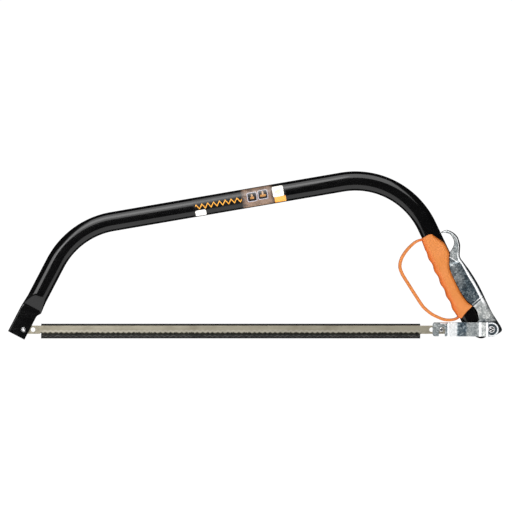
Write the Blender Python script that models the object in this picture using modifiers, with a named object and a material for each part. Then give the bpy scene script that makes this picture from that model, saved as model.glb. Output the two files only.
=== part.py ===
"""Bow saw: oval-tube bow, tensioning lever, moulded hand grip, raker-tooth blade and guard.

The working datum is the front blade pin, +X along the blade to the lever, +Z up, Y across the saw.
Lengths below are millimetres. The last step seats the whole saw on the origin, bottom centre.
"""
import math

import bmesh
import bpy
from mathutils import Matrix, Vector

MM = 0.001

# fits
GAP = 0.3                  # running clearance between touching pieces
PIN_GAP = 0.3              # radial clearance of every pin and rivet in its hole

# blade
PIN_SPAN = 607.0           # 24 inch blade, pin centre to pin centre
BLADE_THICK = 0.9
BLADE_BACK = 5.9           # back edge above the pin line
TANG_DROP = 6.2            # lower edge of the plain tangs below the pin line
TOOTH_ROOT = 5.4           # tooth roots below the pin line
TOOTH_TIP = 11.4           # cutting tips below the pin line
TOOTH_PITCH = 5.5
GULLET_DEPTH = 2.6         # how much deeper the raker gullets are than the tooth roots
TEETH_START = 27.0         # first tooth from the front pin
TEETH_END = PIN_SPAN - 29.0
TANG_END = 9.0             # blade end beyond its pin
SPARE_HOLE = 14.0          # second hole inboard of each pin
BLADE_PIN_R = 3.0

# bow tube
TUBE_DEPTH = 28.4          # in the plane of the saw
TUBE_WIDTH = 16.0          # across the saw
TUBE_WALL = 1.5
TUBE_FLAT = 0.35           # 0 is an ellipse, 1 is a flat-sided oval
BEND_R = 115.0             # centreline radius of both bends
FRONT_LEAN = 62.5          # front leg from the blade line, degrees
FRONT_OFFSET = 3.4         # front pin in from the leg centreline
TOP_RISE = 9.75            # top run rises toward the lever, degrees
TOP_MID_X = PIN_SPAN / 2 - 3.5
TOP_MID_Z = 186.4          # centreline of the top run above the pins there
REAR_LEAN = 64.6           # rear leg from the blade line, degrees

# crushed front foot
FOOT_BELOW = 12.3          # foot end below the front pin, along the leg
FOOT_HALF = 15.7           # half width of the crushed tube
FOOT_TRIM = 11.3           # folded inner edge is cut away beyond this offset
FOOT_FLAT = 38.0           # length of the flat foot
FOOT_BLEND = 26.0          # length over which the oval closes to the flat foot

# lever, its pivot and the link rivets
PIVOT_X = PIN_SPAN + 57.6
PIVOT_Z = -0.4
PIVOT_BEHIND = 6.15        # pivot behind the leg centreline
CRANK = 14.73              # pivot to link rivet
CRANK_ANGLE = 3.5          # link rivet above the pivot, closed, degrees
SHEET = 1.5                # lever sheet
LEVER_BACK = 25.3          # back of the lever behind the pivot line
LEVER_WAIST = 18.0
LEVER_HEEL = 27.6
LEVER_TIP = 153.2          # length up the leg from the pivot
LEVER_FRONT = 3.5          # front edge of the cheeks ahead of the pivot line
LOOP_LOW = 121.0           # finger gap, lower end
LOOP_BAND = 6.0            # width of the loop around the finger gap
CHEEK_R = 9.5              # cheek around the pivot
TAIL_R = 12.2              # rounded end of the tube around the pivot
PIVOT_R = 3.0
PIVOT_HEAD_R = 4.4
PIVOT_HEAD = 0.65
LINK_PIN_R = 2.6
LINK_HEAD_R = 4.7
LINK_HEAD = 0.6
SHOULDER_R = 4.2

# link
LINK_SHEET = 2.0
LINK_FRONT = PIN_SPAN - 12.4
LINK_TOP = 10.6
LINK_DROP = 9.7
LINK_EAR_R = 10.4
FOLD_START = PIN_SPAN - 1.0    # the cheeks are joined over the blade from here to the flare
FLARE_START = PIN_SPAN + 10.3
FLARE_END = PIN_SPAN + 22.5
STEP_START = PIVOT_X + CRANK - 15.3
STEP_END = PIVOT_X + CRANK - 5.3
EAR_FLARE = 1.85           # the ears stand out from the flat of the cheeks by this
HOOK_SLACK = 2.0           # slot longer than the pin behind it

# grip and knuckle guard
GRIP_WIDTH = 31.0
GRIP_TOP = 158.0           # up the leg from the pivot
GRIP_LOW = 27.0
GRIP_FRONT = 23.4          # finger side ahead of the pivot line
FINGER_WAVE = 0.9
GRIP_ROUND = 6.0
STRAP_WIDTH = 17.0
STRAP_THICK = 4.4
STRAP_REACH = 68.3         # centre of the strap ahead of the pivot line
STRAP_TOP = 155.5
STRAP_LOW = 30.0

# guard
GUARD_START = 25.7
GUARD_END = PIN_SPAN - 30.5
GUARD_WALL = 1.5
GUARD_BACK = 8.6           # tall far wall above the pin line
GUARD_LIP = 7.0            # near lip starts this far below the pin line
GUARD_FLOOR = 1.1

# label on the top run
LABEL_START = TOP_MID_X - 53.0
LABEL_END = TOP_MID_X + 81.0
LABEL_THICK = 0.25
LABEL_SPREAD = 62.0        # half angle of the tube face it covers, degrees

RING = 28

AXIS_X, AXIS_Y, AXIS_Z = Vector((1, 0, 0)), Vector((0, 1, 0)), Vector((0, 0, 1))
SIDE_VIEW = (AXIS_X, AXIS_Z, AXIS_Y)
TOP_VIEW = (AXIS_X, AXIS_Y, AXIS_Z)
END_VIEW = (AXIS_Y, AXIS_Z, AXIS_X)


def scene_collection(name):
    col = bpy.data.collections.new(name)
    bpy.context.scene.collection.children.link(col)
    return col


for old in list(bpy.data.objects):
    bpy.data.objects.remove(old)
PARTS = scene_collection("bow_saw")
CUTTERS = scene_collection("cutters")
DATUM = bpy.data.objects.new("saw_datum", None)
PARTS.objects.link(DATUM)


# ---------------------------------------------------------------- directions
def heading(degrees):
    a = math.radians(degrees)
    return Vector((math.cos(a), math.sin(a)))


FRONT_DIR = heading(FRONT_LEAN)
TOP_DIR = heading(TOP_RISE)
REAR_DIR = heading(-REAR_LEAN)
PIVOT = Vector((PIVOT_X, PIVOT_Z))
CRANK_PIN = PIVOT + CRANK * heading(CRANK_ANGLE)
LEG_UP = -REAR_DIR
LEG_BACK = Vector((LEG_UP.y, -LEG_UP.x))


def inward(direction):
    return Vector((direction.y, -direction.x))


def on_leg(up, back):
    """Point up the rear leg and behind the pivot line."""
    return PIVOT + up * LEG_UP + back * LEG_BACK


def in_pivot_frame(point):
    d = Vector(point) - PIVOT
    return d.dot(LEG_UP), d.dot(LEG_BACK)


def crossing(p, d, q, e):
    det = d.x * e.y - d.y * e.x
    t = ((q.x - p.x) * e.y - (q.y - p.y) * e.x) / det
    return p + t * d


# ---------------------------------------------------------------- outlines
def through(points, steps, closed=False):
    """Smooth line through the points."""
    pts = [Vector(p) for p in points]
    count = len(pts)
    spans = count if closed else count - 1
    line = []
    for i in range(spans):
        a = pts[(i - 1) % count] if closed or i else 2 * pts[0] - pts[1]
        b = pts[i]
        c = pts[(i + 1) % count]
        d = pts[(i + 2) % count] if closed or i + 2 < count else 2 * pts[-1] - pts[-2]
        for k in range(steps):
            t = k / steps
            line.append(0.5 * (2 * b + (c - a) * t + (2 * a - 5 * b + 4 * c - d) * t * t
                               + (3 * b - a - 3 * c + d) * t ** 3))
    if not closed:
        line.append(pts[-1])
    return line


def beside(line, offset):
    """Open line moved to its right by the offset."""
    out = []
    for i, p in enumerate(line):
        a = line[max(i - 1, 0)]
        b = line[min(i + 1, len(line) - 1)]
        out.append(p + offset * inward((b - a).normalized()))
    return out


def arc(centre, radius, start, end, steps):
    centre = Vector(centre)
    return [centre + radius * heading(start + (end - start) * k / steps) for k in range(steps + 1)]


def round_corner(before, corner, after, radius, steps=5):
    """Corner between two straight edges replaced by a tangent arc."""
    a = (Vector(before) - Vector(corner)).normalized()
    b = (Vector(after) - Vector(corner)).normalized()
    half = a.angle(b) / 2
    mid = (a + b).normalized()
    centre = Vector(corner) + mid * radius / math.sin(half)
    first = Vector(corner) + a * radius / math.tan(half) - centre
    last = Vector(corner) + b * radius / math.tan(half) - centre
    turn = first.angle_signed(last)
    out = []
    for k in range(steps + 1):
        v = first.copy()
        v.rotate(Matrix.Rotation(-turn * k / steps, 2))
        out.append(centre + v)
    return out


def oval(half_depth, half_width, flat, points=RING):
    """Section of the tube: (in the plane of the saw, across it)."""
    ring = []
    straight = half_depth - half_width
    for k in range(points):
        t = 2 * math.pi * (k + 0.5) / points
        c, s = math.cos(t), math.sin(t)
        ellipse = half_depth * c
        slot = math.copysign(straight, c) + half_width * c
        ring.append(Vector(((1 - flat) * ellipse + flat * slot, half_width * s)))
    return ring


# ---------------------------------------------------------------- solids
def painted(obj, rgb, rough, metal):
    mat = bpy.data.materials.new(obj.name)
    mat.use_nodes = True
    node = mat.node_tree.nodes["Principled BSDF"]
    node.inputs["Base Color"].default_value = (*rgb, 1.0)
    node.inputs["Roughness"].default_value = rough
    node.inputs["Metallic"].default_value = metal
    obj.data.materials.clear()
    obj.data.materials.append(mat)
    return obj


def own_mesh(obj, name, col, merge=1e-5):
    """Mesh copy of an evaluated object, which is removed."""
    bpy.context.view_layer.update()
    seen = obj.evaluated_get(bpy.context.evaluated_depsgraph_get())
    mesh = bpy.data.meshes.new_from_object(seen)
    work = bmesh.new()
    work.from_mesh(mesh)
    bmesh.ops.remove_doubles(work, verts=work.verts, dist=merge)
    bmesh.ops.dissolve_limit(work, angle_limit=math.radians(0.3), verts=work.verts, edges=work.edges)
    bmesh.ops.recalc_face_normals(work, faces=work.faces)
    work.to_mesh(mesh)
    work.free()
    made = bpy.data.objects.new(name, mesh)
    made.matrix_world = obj.matrix_world.copy()
    col.objects.link(made)
    bpy.data.objects.remove(obj)
    return made


def prism(name, outline, low, high, col=PARTS, plane=SIDE_VIEW, base=Vector((0, 0, 0))):
    """Closed outline drawn in a plane (first, second) and run from low to high along the third axis."""
    first, second, across = plane
    curve = bpy.data.curves.new(name + "_outline", "CURVE")
    curve.dimensions = "2D"
    curve.fill_mode = "BOTH"
    curve.extrude = (high - low) / 2 * MM
    spline = curve.splines.new("POLY")
    spline.points.add(len(outline) - 1)
    for point, at in zip(spline.points, outline):
        point.co = (at[0] * MM, at[1] * MM, 0.0, 1.0)
    spline.use_cyclic_u = True
    obj = bpy.data.objects.new(name + "_outline", curve)
    CUTTERS.objects.link(obj)
    frame = Matrix((first, second, first.cross(second))).transposed().to_4x4()
    mid = (low + high) / 2 * MM
    frame.translation = base * MM + across * mid
    obj.matrix_world = frame
    made = own_mesh(obj, name, col)
    made.data.transform(made.matrix_world)
    made.matrix_world = Matrix.Identity(4)
    return made


def turned(name, profile, centre, col=PARTS, steps=28):
    """Solid of revolution about a Y axis through centre; profile is (radius, y), +Y end first."""
    mesh = bpy.data.meshes.new(name + "_profile")
    mesh.from_pydata([(r * MM, 0.0, y * MM) for r, y in profile],
                     [(i, i + 1) for i in range(len(profile) - 1)], [])
    obj = bpy.data.objects.new(name + "_profile", mesh)
    col.objects.link(obj)
    screw = obj.modifiers.new("turn", "SCREW")
    screw.axis = "Z"
    screw.angle = 2 * math.pi
    screw.steps = steps
    screw.render_steps = steps
    screw.use_merge_vertices = True
    screw.merge_threshold = 1e-5
    made = own_mesh(obj, name, col)
    made.data.transform(Matrix.Rotation(-math.pi / 2, 4, "X"))
    made.data.transform(Matrix.Translation((centre[0] * MM, 0.0, centre[1] * MM)))
    return made


def rod(name, centre, radius, low, high):
    return turned(name, [(0, high), (radius, high), (radius, low), (0, low)], centre, CUTTERS)


def loft(name, rings, closed, col=PARTS):
    """Skin over unlike sections; closed joins the last ring to the first."""
    count = len(rings[0])
    verts = [(p[0] * MM, p[1] * MM, p[2] * MM) for ring in rings for p in ring]
    faces = []
    spans = len(rings) if closed else len(rings) - 1
    for i in range(spans):
        j = (i + 1) % len(rings)
        for k in range(count):
            n = (k + 1) % count
            faces.append((i * count + k, i * count + n, j * count + n, j * count + k))
    mesh = bpy.data.meshes.new(name)
    mesh.from_pydata(verts, [], faces)
    work = bmesh.new()
    work.from_mesh(mesh)
    bmesh.ops.recalc_face_normals(work, faces=work.faces)
    work.to_mesh(mesh)
    work.free()
    obj = bpy.data.objects.new(name, mesh)
    col.objects.link(obj)
    return obj


def cut(obj, tool, how="DIFFERENCE"):
    if tool.name not in CUTTERS.objects:
        for col in tool.users_collection:
            col.objects.unlink(tool)
        CUTTERS.objects.link(tool)
    mod = obj.modifiers.new(how.lower(), "BOOLEAN")
    mod.operation = how
    mod.solver = "EXACT"
    mod.object = tool
    return obj


def bevel(obj, width, segments, angle=35):
    mod = obj.modifiers.new("bevel", "BEVEL")
    mod.width = width * MM
    mod.segments = segments
    mod.limit_method = "ANGLE"
    mod.angle_limit = math.radians(angle)
    mod.use_clamp_overlap = True
    return obj


def rounded(obj, angle=35):
    for face in obj.data.polygons:
        face.use_smooth = True
    obj.data.set_sharp_from_angle(angle=math.radians(angle))
    return obj


def hung_on(obj, point):
    """Origin of a moving piece moved to its joint axis."""
    at = Vector((point[0] * MM, 0.0, point[1] * MM))
    obj.data.transform(Matrix.Translation(-at))
    obj.location = at
    return obj


# ---------------------------------------------------------------- bow tube
def bow_line():
    """Stations of the tube centreline: (point, direction, distance from the foot end)."""
    foot_in = inward(FRONT_DIR)
    start = -FRONT_OFFSET * foot_in - FOOT_BELOW * FRONT_DIR
    leg = PIVOT - PIVOT_BEHIND * LEG_BACK
    top = Vector((TOP_MID_X, TOP_MID_Z))
    front_corner = crossing(start, FRONT_DIR, top, TOP_DIR)
    rear_corner = crossing(top, TOP_DIR, leg, REAR_DIR)
    stations = []

    def bend(corner, a, b):
        turn = a.angle(b)
        reach = BEND_R * math.tan(turn / 2)
        centre = corner - reach * a + BEND_R * inward(a)
        first = math.degrees(math.atan2(-inward(a).y, -inward(a).x))
        steps = 11
        spokes = [heading(first - math.degrees(turn) * k / steps) for k in range(steps + 1)]
        return [(centre + BEND_R * spoke, inward(spoke)) for spoke in spokes]

    flat_steps = 3
    for k in range(flat_steps):
        at = start + FOOT_FLAT * k / flat_steps * FRONT_DIR
        stations.append((at, FRONT_DIR))
    blend_steps = 8
    for k in range(blend_steps + 1):
        at = start + (FOOT_FLAT + FOOT_BLEND * k / blend_steps) * FRONT_DIR
        stations.append((at, FRONT_DIR))
    stations += bend(front_corner, FRONT_DIR, TOP_DIR)
    stations += bend(rear_corner, TOP_DIR, REAR_DIR)
    stations.append((leg + 60.0 * LEG_UP, REAR_DIR))
    stations.append((leg - 30.0 * LEG_UP, REAR_DIR))
    return start, stations


def foot_shape(along):
    """How far the oval is crushed at a distance from the foot end, 1 at the flat foot."""
    t = min(max((along - FOOT_FLAT) / FOOT_BLEND, 0.0), 1.0)
    return 1.0 - t * t * (3 - 2 * t)


def tube_rings(grow):
    start, stations = bow_line()
    rings = []
    slot_half = BLADE_THICK / 2 + GAP + TUBE_WALL
    for at, direction in stations:
        along = (at - start).dot(FRONT_DIR) if (at - start).length < 120 else 120.0
        crushed = foot_shape(along)
        half_depth = TUBE_DEPTH / 2 + crushed * (FOOT_HALF - TUBE_DEPTH / 2) + grow
        half_width = TUBE_WIDTH / 2 + crushed * (slot_half - TUBE_WIDTH / 2) + grow
        flat = TUBE_FLAT + crushed * (1 - TUBE_FLAT)
        into = inward(direction)
        ring = []
        for depth, across in oval(half_depth, half_width, flat):
            p = at + depth * into
            ring.append((p.x, across, p.y))
        rings.append(ring)
    return rings


def make_tube():
    skin = tube_rings(0.0)
    bore = tube_rings(-TUBE_WALL)
    tube = loft("frame_tube", skin + bore[::-1], closed=True)
    start = bow_line()[0]
    into = inward(FRONT_DIR)
    notch = [(-30, FOOT_TRIM), (FOOT_FLAT, FOOT_TRIM), (FOOT_FLAT + 12, FOOT_HALF + 3.5), (-30, 60)]
    trim = prism("foot_trim", [start + a * FRONT_DIR + b * into for a, b in notch], -20, 20, CUTTERS)
    cut(tube, trim)
    cut(tube, rod("foot_pin_hole", (0, 0), BLADE_PIN_R + PIN_GAP, -20, 20))
    far = 80.0
    low = arc(PIVOT, TAIL_R, -190, 15, 20)
    tail = low + [PIVOT + Vector((far, low[-1].y - PIVOT.y)), PIVOT + Vector((far, -far)),
                  PIVOT + Vector((-far, -far)), PIVOT + Vector((-far, low[0].y - PIVOT.y))]
    cut(tube, prism("tail_trim", tail, -20, 20, CUTTERS))
    cut(tube, rod("pivot_hole", PIVOT, PIVOT_R + PIN_GAP, -20, 20))
    painted(tube, (0.012, 0.012, 0.014), 0.18, 0.0)
    return rounded(tube)


def make_label():
    """Thin printed band stuck on the near face of the top run."""
    count = 13
    outer, inner = [], []
    for k in range(count):
        t = math.radians(-90 + LABEL_SPREAD * (2 * k / (count - 1) - 1))
        for grow, line in ((GAP / 2 + LABEL_THICK, outer), (GAP / 2, inner)):
            half_depth = TUBE_DEPTH / 2 + grow
            half_width = TUBE_WIDTH / 2 + grow
            ellipse = half_depth * math.cos(t)
            slot = math.copysign(half_depth - half_width, math.cos(t)) + half_width * math.cos(t)
            if abs(math.cos(t)) < 1e-6:
                slot = 0.0
            depth = (1 - TUBE_FLAT) * ellipse + TUBE_FLAT * slot
            line.append((half_width * math.sin(t), depth))
    mid = Vector((TOP_MID_X, TOP_MID_Z))
    run = (Vector((LABEL_START, 0)) - mid).x / TOP_DIR.x
    end = (Vector((LABEL_END, 0)) - mid).x / TOP_DIR.x
    along = Vector((TOP_DIR.x, 0, TOP_DIR.y))
    plane = (AXIS_Y, AXIS_Y.cross(along), along)
    band = prism("frame_label", outer + inner[::-1], run, end, PARTS, plane,
                 Vector((mid.x, 0, mid.y)))
    painted(band, (0.25, 0.22, 0.2), 0.3, 0.0)
    return rounded(band)


# ---------------------------------------------------------------- blade
def tooth_line():
    """Cutting edge from front to rear: groups of four peg teeth and a raker between deep gullets."""
    line = []
    x = TEETH_START
    index = 0
    while x + TOOTH_PITCH <= TEETH_END:
        raker = index % 5 == 4
        ground = 0.05 * math.sin(1.7 * index)
        root = TOOTH_ROOT + 0.8 + ground
        if index % 5 in (0, 4):
            root -= GULLET_DEPTH
        line.append((x, -root))
        tip = TOOTH_TIP - (0.4 if raker else 0.0)
        if raker:
            line.append((x + 0.34 * TOOTH_PITCH, -tip))
            line.append((x + 0.50 * TOOTH_PITCH, -tip + 1.3))
            line.append((x + 0.66 * TOOTH_PITCH, -tip))
        else:
            line.append((x + 0.47 * TOOTH_PITCH, -tip))
            line.append((x + 0.53 * TOOTH_PITCH, -tip))
        x += TOOTH_PITCH
        index += 1
    line.append((x, -TOOTH_ROOT - 0.8))
    return line


def make_blade():
    front = -TANG_END
    rear = PIN_SPAN + TANG_END
    edge = tooth_line()
    outline = [(front, -TANG_DROP + 3), (front + 3, -TANG_DROP), (edge[0][0] - 3, -TANG_DROP)]
    outline += edge
    outline += [(edge[-1][0] + 3, -TANG_DROP), (rear - 3, -TANG_DROP), (rear, -TANG_DROP + 3)]
    outline += [(rear, BLADE_BACK - 3), (rear - 3, BLADE_BACK), (front + 3, BLADE_BACK),
                (front, BLADE_BACK - 3)]
    blade = prism("saw_blade", outline, -BLADE_THICK / 2, BLADE_THICK / 2)
    for i, x in enumerate((0, SPARE_HOLE, PIN_SPAN - SPARE_HOLE, PIN_SPAN)):
        cut(blade, rod("blade_hole_%d" % i, (x, 0), BLADE_PIN_R + PIN_GAP, -5, 5))
    return painted(blade, (0.29, 0.26, 0.19), 0.3, 0.9)


def split_pin(name, centre, half):
    """Rolled spring pin: a tube with a slit along it."""
    outer = arc((0, 0), BLADE_PIN_R, 105, 435, 26)
    inner = arc((0, 0), BLADE_PIN_R - 0.9, 435, 105, 26)
    pin = prism(name, [Vector(centre) + p for p in outer + inner], -half, half)
    painted(pin, (0.7, 0.7, 0.72), 0.25, 1.0)
    return rounded(pin)


def make_front_pin():
    return split_pin("front_blade_pin", (0, 0), BLADE_THICK / 2 + GAP + TUBE_WALL + 1.2)


def make_rear_pin():
    half = BLADE_THICK / 2 + GAP + LINK_SHEET + 1.0
    r = BLADE_PIN_R
    pin = turned("rear_blade_pin", [(0, half), (r - 0.5, half), (r, half - 0.5), (r, -half + 0.5),
                                    (r - 0.5, -half), (0, -half)], (PIN_SPAN, 0))
    painted(pin, (0.7, 0.7, 0.72), 0.25, 1.0)
    return rounded(pin)


def make_guard():
    """Plastic channel under the teeth: tall far wall, low near lip."""
    bore = BLADE_THICK / 2 + GAP
    floor = TOOTH_TIP + GAP
    out = bore + GUARD_WALL
    low = -floor - GUARD_FLOOR
    near = -GUARD_LIP
    section = [(out, low + 0.8), (out, GUARD_BACK - 0.5), (out - 0.5, GUARD_BACK),
               (bore + 0.4, GUARD_BACK), (bore, GUARD_BACK - 0.4), (bore, -floor), (-bore, -floor),
               (-bore, near - 0.4), (-bore - 0.4, near), (-out + 0.5, near), (-out, near - 0.5),
               (-out, low + 0.8), (-out + 0.8, low), (out - 0.8, low)]
    guard = prism("blade_guard", section, GUARD_START, GUARD_END, PARTS, END_VIEW)
    return painted(guard, (0.02, 0.02, 0.02), 0.5, 0.0)


# ---------------------------------------------------------------- lever
CHEEK_IN = TUBE_WIDTH / 2 + GAP
CHEEK_OUT = CHEEK_IN + SHEET


def lever_back_line():
    """Back of the lever from the heel up to the tip, in the pivot frame."""
    loop_mid = (LOOP_LOW + LEVER_TIP) / 2
    neck = LOOP_LOW - 14
    return [(-16.0, 17.0), (-12.8, LEVER_HEEL), (3.0, LEVER_HEEL - 0.6), (19.0, LEVER_BACK),
            (52.0, LEVER_BACK), (69.0, LEVER_BACK - 1), (86.0, LEVER_BACK - 3.2),
            (neck - 6, LEVER_WAIST + 1), (neck, LEVER_WAIST), (neck + 5, LEVER_WAIST + 1),
            (neck + 17, LEVER_HEEL - 2.2), (loop_mid - 4, LEVER_HEEL - 0.4),
            (loop_mid, LEVER_HEEL - 0.4), (loop_mid + 6, LEVER_HEEL - 2.2),
            (loop_mid + 11, LEVER_HEEL - 5.5), (LEVER_TIP - 1, LEVER_HEEL - 9.5),
            (LEVER_TIP, LEVER_WAIST - 4), (LEVER_TIP, LEVER_WAIST - 9)]


def lever_front_line():
    """Free edge of the cheeks from the tip down to the heel, around the finger gap."""
    band = LEVER_HEEL - LOOP_BAND
    mid = (LOOP_LOW + LEVER_TIP) / 2
    f = LEVER_FRONT
    gap_side = [(LEVER_TIP - 1.2, LEVER_WAIST - 9), (LEVER_TIP - 3.4, 13.6), (mid + 8, band - 2.4),
                (mid + 2.6, band - 0.8), (mid - 3.6, band - 1), (mid - 8.4, band - 3.3),
                (mid - 12.4, 14.0), (LOOP_LOW, 8.0)]
    grip_side = [(LOOP_LOW - 4, 5.2), (LOOP_LOW - 8, 2.6), (104.0, -f + 2.2), (94.0, -f),
                 (65.0, -f + 0.2), (48.0, -f + 2.9), (37.0, 4.2), (27.0, 6.2), (15.0, 3.6)]
    c = CHEEK_R
    eye = [(c * math.cos(a), c * math.sin(a)) for a in
           [math.radians(-45 - 18 * k) for k in range(9)]]
    return through(gap_side, 3) + through(grip_side, 3) + [Vector(p) for p in eye]


def make_lever():
    back = through(lever_back_line(), 3)
    front = lever_front_line()
    body = [on_leg(*p) for p in back + front]
    lever = prism("tension_lever", body, -CHEEK_OUT, CHEEK_OUT)
    bevel(lever, 1.0, 2, 60)
    inside = beside(back, SHEET)
    inside[0] = inside[0] + Vector((-8.0, -8.0))
    inside[-1] = inside[-1] + Vector((0.0, -8.0))
    channel = [on_leg(*p) for p in inside + [Vector((LEVER_TIP - SHEET, -60)), Vector((-40, -60))]]
    cut(lever, prism("lever_channel", channel, -CHEEK_IN, CHEEK_IN, CUTTERS))
    cut(lever, rod("lever_pivot_hole", PIVOT, PIVOT_R + PIN_GAP, -20, 20))
    cut(lever, rod("lever_link_hole", CRANK_PIN, LINK_PIN_R + PIN_GAP, -20, 20))
    painted(lever, (0.5, 0.51, 0.52), 0.35, 1.0)
    return lever


def make_pivot_rivet():
    flat = CHEEK_OUT + GAP / 2
    top = flat + PIVOT_HEAD
    r, h = PIVOT_R, PIVOT_HEAD_R
    half = [(0, top), (h - 1.0, top - 0.1), (h - 0.2, top - 0.35), (h, flat), (r, flat)]
    rivet = turned("fulcrum_rivet", half + [(a, -b) for a, b in half[::-1]], PIVOT)
    painted(rivet, (0.6, 0.6, 0.61), 0.3, 1.0)
    return rounded(rivet)


CHEEK_FLAT = CHEEK_OUT + GAP / 2 + PIVOT_HEAD + GAP
EAR_IN = CHEEK_FLAT + EAR_FLARE
EAR_OUT = EAR_IN + LINK_SHEET


def make_link_rivet(name, side):
    """Shouldered stud, staked outside the ear of the link, on one side of the saw."""
    inner = CHEEK_IN + 0.1
    head = EAR_OUT + GAP / 2
    top = head + LINK_HEAD
    r, h, s = LINK_PIN_R, LINK_HEAD_R, SHOULDER_R
    profile = [(0, top), (h * 0.6, top - 0.12 * LINK_HEAD), (h * 0.88, top - 0.35 * LINK_HEAD),
               (h, top - 0.75 * LINK_HEAD), (h, head),
               (r, head), (r, EAR_IN - GAP / 2), (s, EAR_IN - GAP / 2),
               (s, CHEEK_OUT + GAP / 2), (r, CHEEK_OUT + GAP / 2), (r, inner), (0, inner)]
    if side < 0:
        profile = [(a, -b) for a, b in profile[::-1]]
    rivet = turned(name, profile, CRANK_PIN)
    painted(rivet, (0.65, 0.65, 0.66), 0.3, 1.0)
    return rounded(rivet)


# ---------------------------------------------------------------- link
def make_link():
    """Folded strap: two cheeks beside the blade, joined over it behind the hook, then spread
    around the lever."""
    slim = BLADE_THICK / 2 + GAP
    wide = CHEEK_FLAT
    rear = CRANK_PIN.x + LINK_EAR_R + 2
    inner = [Vector((LINK_FRONT - 2, slim)), Vector((FLARE_START, slim)), Vector((FLARE_END, wide)),
             Vector((STEP_START, wide)), Vector((STEP_END, EAR_IN)), Vector((rear, EAR_IN))]
    outer = []
    for i, p in enumerate(inner):
        a = (p - inner[max(i - 1, 0)]).normalized() if i else Vector((1, 0))
        b = (inner[min(i + 1, len(inner) - 1)] - p).normalized() if i + 1 < len(inner) else a
        mid = (a + b).normalized()
        left = Vector((-mid.y, mid.x))
        outer.append(p + left * LINK_SHEET / max(mid.dot(a), 0.5))
    strip = inner + outer[::-1]
    low, high = -LINK_DROP - 4, LINK_TOP + 4
    link = prism("blade_link", [(x, -y) for x, y in strip], low, high, PARTS, TOP_VIEW)
    far = prism("link_far_cheek", strip, low, high, CUTTERS, TOP_VIEW)
    cut(link, far, "UNION")
    under = LINK_TOP - LINK_SHEET
    fold = prism("link_fold", [(FOLD_START, under), (FLARE_START, under),
                               (FLARE_START, LINK_TOP + 3), (FOLD_START, LINK_TOP + 3)],
                 -slim - LINK_SHEET / 2, slim + LINK_SHEET / 2, CUTTERS)
    cut(link, fold, "UNION")
    top, bottom = LINK_TOP, -LINK_DROP
    corner = round_corner((LINK_FRONT, bottom), (LINK_FRONT, top), (rear, top), 3.5)
    ear = arc(CRANK_PIN, LINK_EAR_R, 85, -85, 16)
    side = corner + [Vector((CRANK_PIN.x - 6, top))] + ear + [Vector((CRANK_PIN.x - 6, bottom)),
                                                             Vector((LINK_FRONT + 4, bottom)),
                                                             Vector((LINK_FRONT, bottom + 6))]
    cut(link, prism("link_side", side, -40, 40, CUTTERS), "INTERSECT")
    r = BLADE_PIN_R + PIN_GAP
    x0, x1 = PIN_SPAN - r - 0.1, PIN_SPAN + r + HOOK_SLACK
    crown = r + 0.3
    slot = arc((x1 - crown, 0.3), crown, 0, 90, 6) + arc((x0 + crown, 0.3), crown, 90, 180, 6)
    slot += [Vector((x0, bottom - 5)), Vector((x1, bottom - 5))]
    cut(link, prism("link_hook", slot, -10, 10, CUTTERS))
    cut(link, rod("link_eye", CRANK_PIN, LINK_PIN_R + PIN_GAP, -30, 30))
    return painted(link, (0.55, 0.56, 0.57), 0.35, 1.0)


# ---------------------------------------------------------------- grip
def strap_line():
    """Middle of the knuckle guard from the top of the grip around to its foot."""
    reach = STRAP_REACH
    top, low = STRAP_TOP, STRAP_LOW
    return [(top - 1.5, -14.0), (top, -22.0), (top + 0.6, -31.0), (top - 3, -43.5),
            (top - 8, -53.5), (top - 14, -61.3), (top - 22, -reach + 1.6), (top - 30, -reach),
            (96.0, -reach + 3.0), (70.0, -reach + 6.3), (low + 31, -reach + 9),
            (low + 21, -reach + 14), (low + 13, -48.0), (low + 6.8, -42.0), (low + 2.6, -35.0),
            (low + 0.2, -26.5), (low + 1.4, -19.0)]


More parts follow.
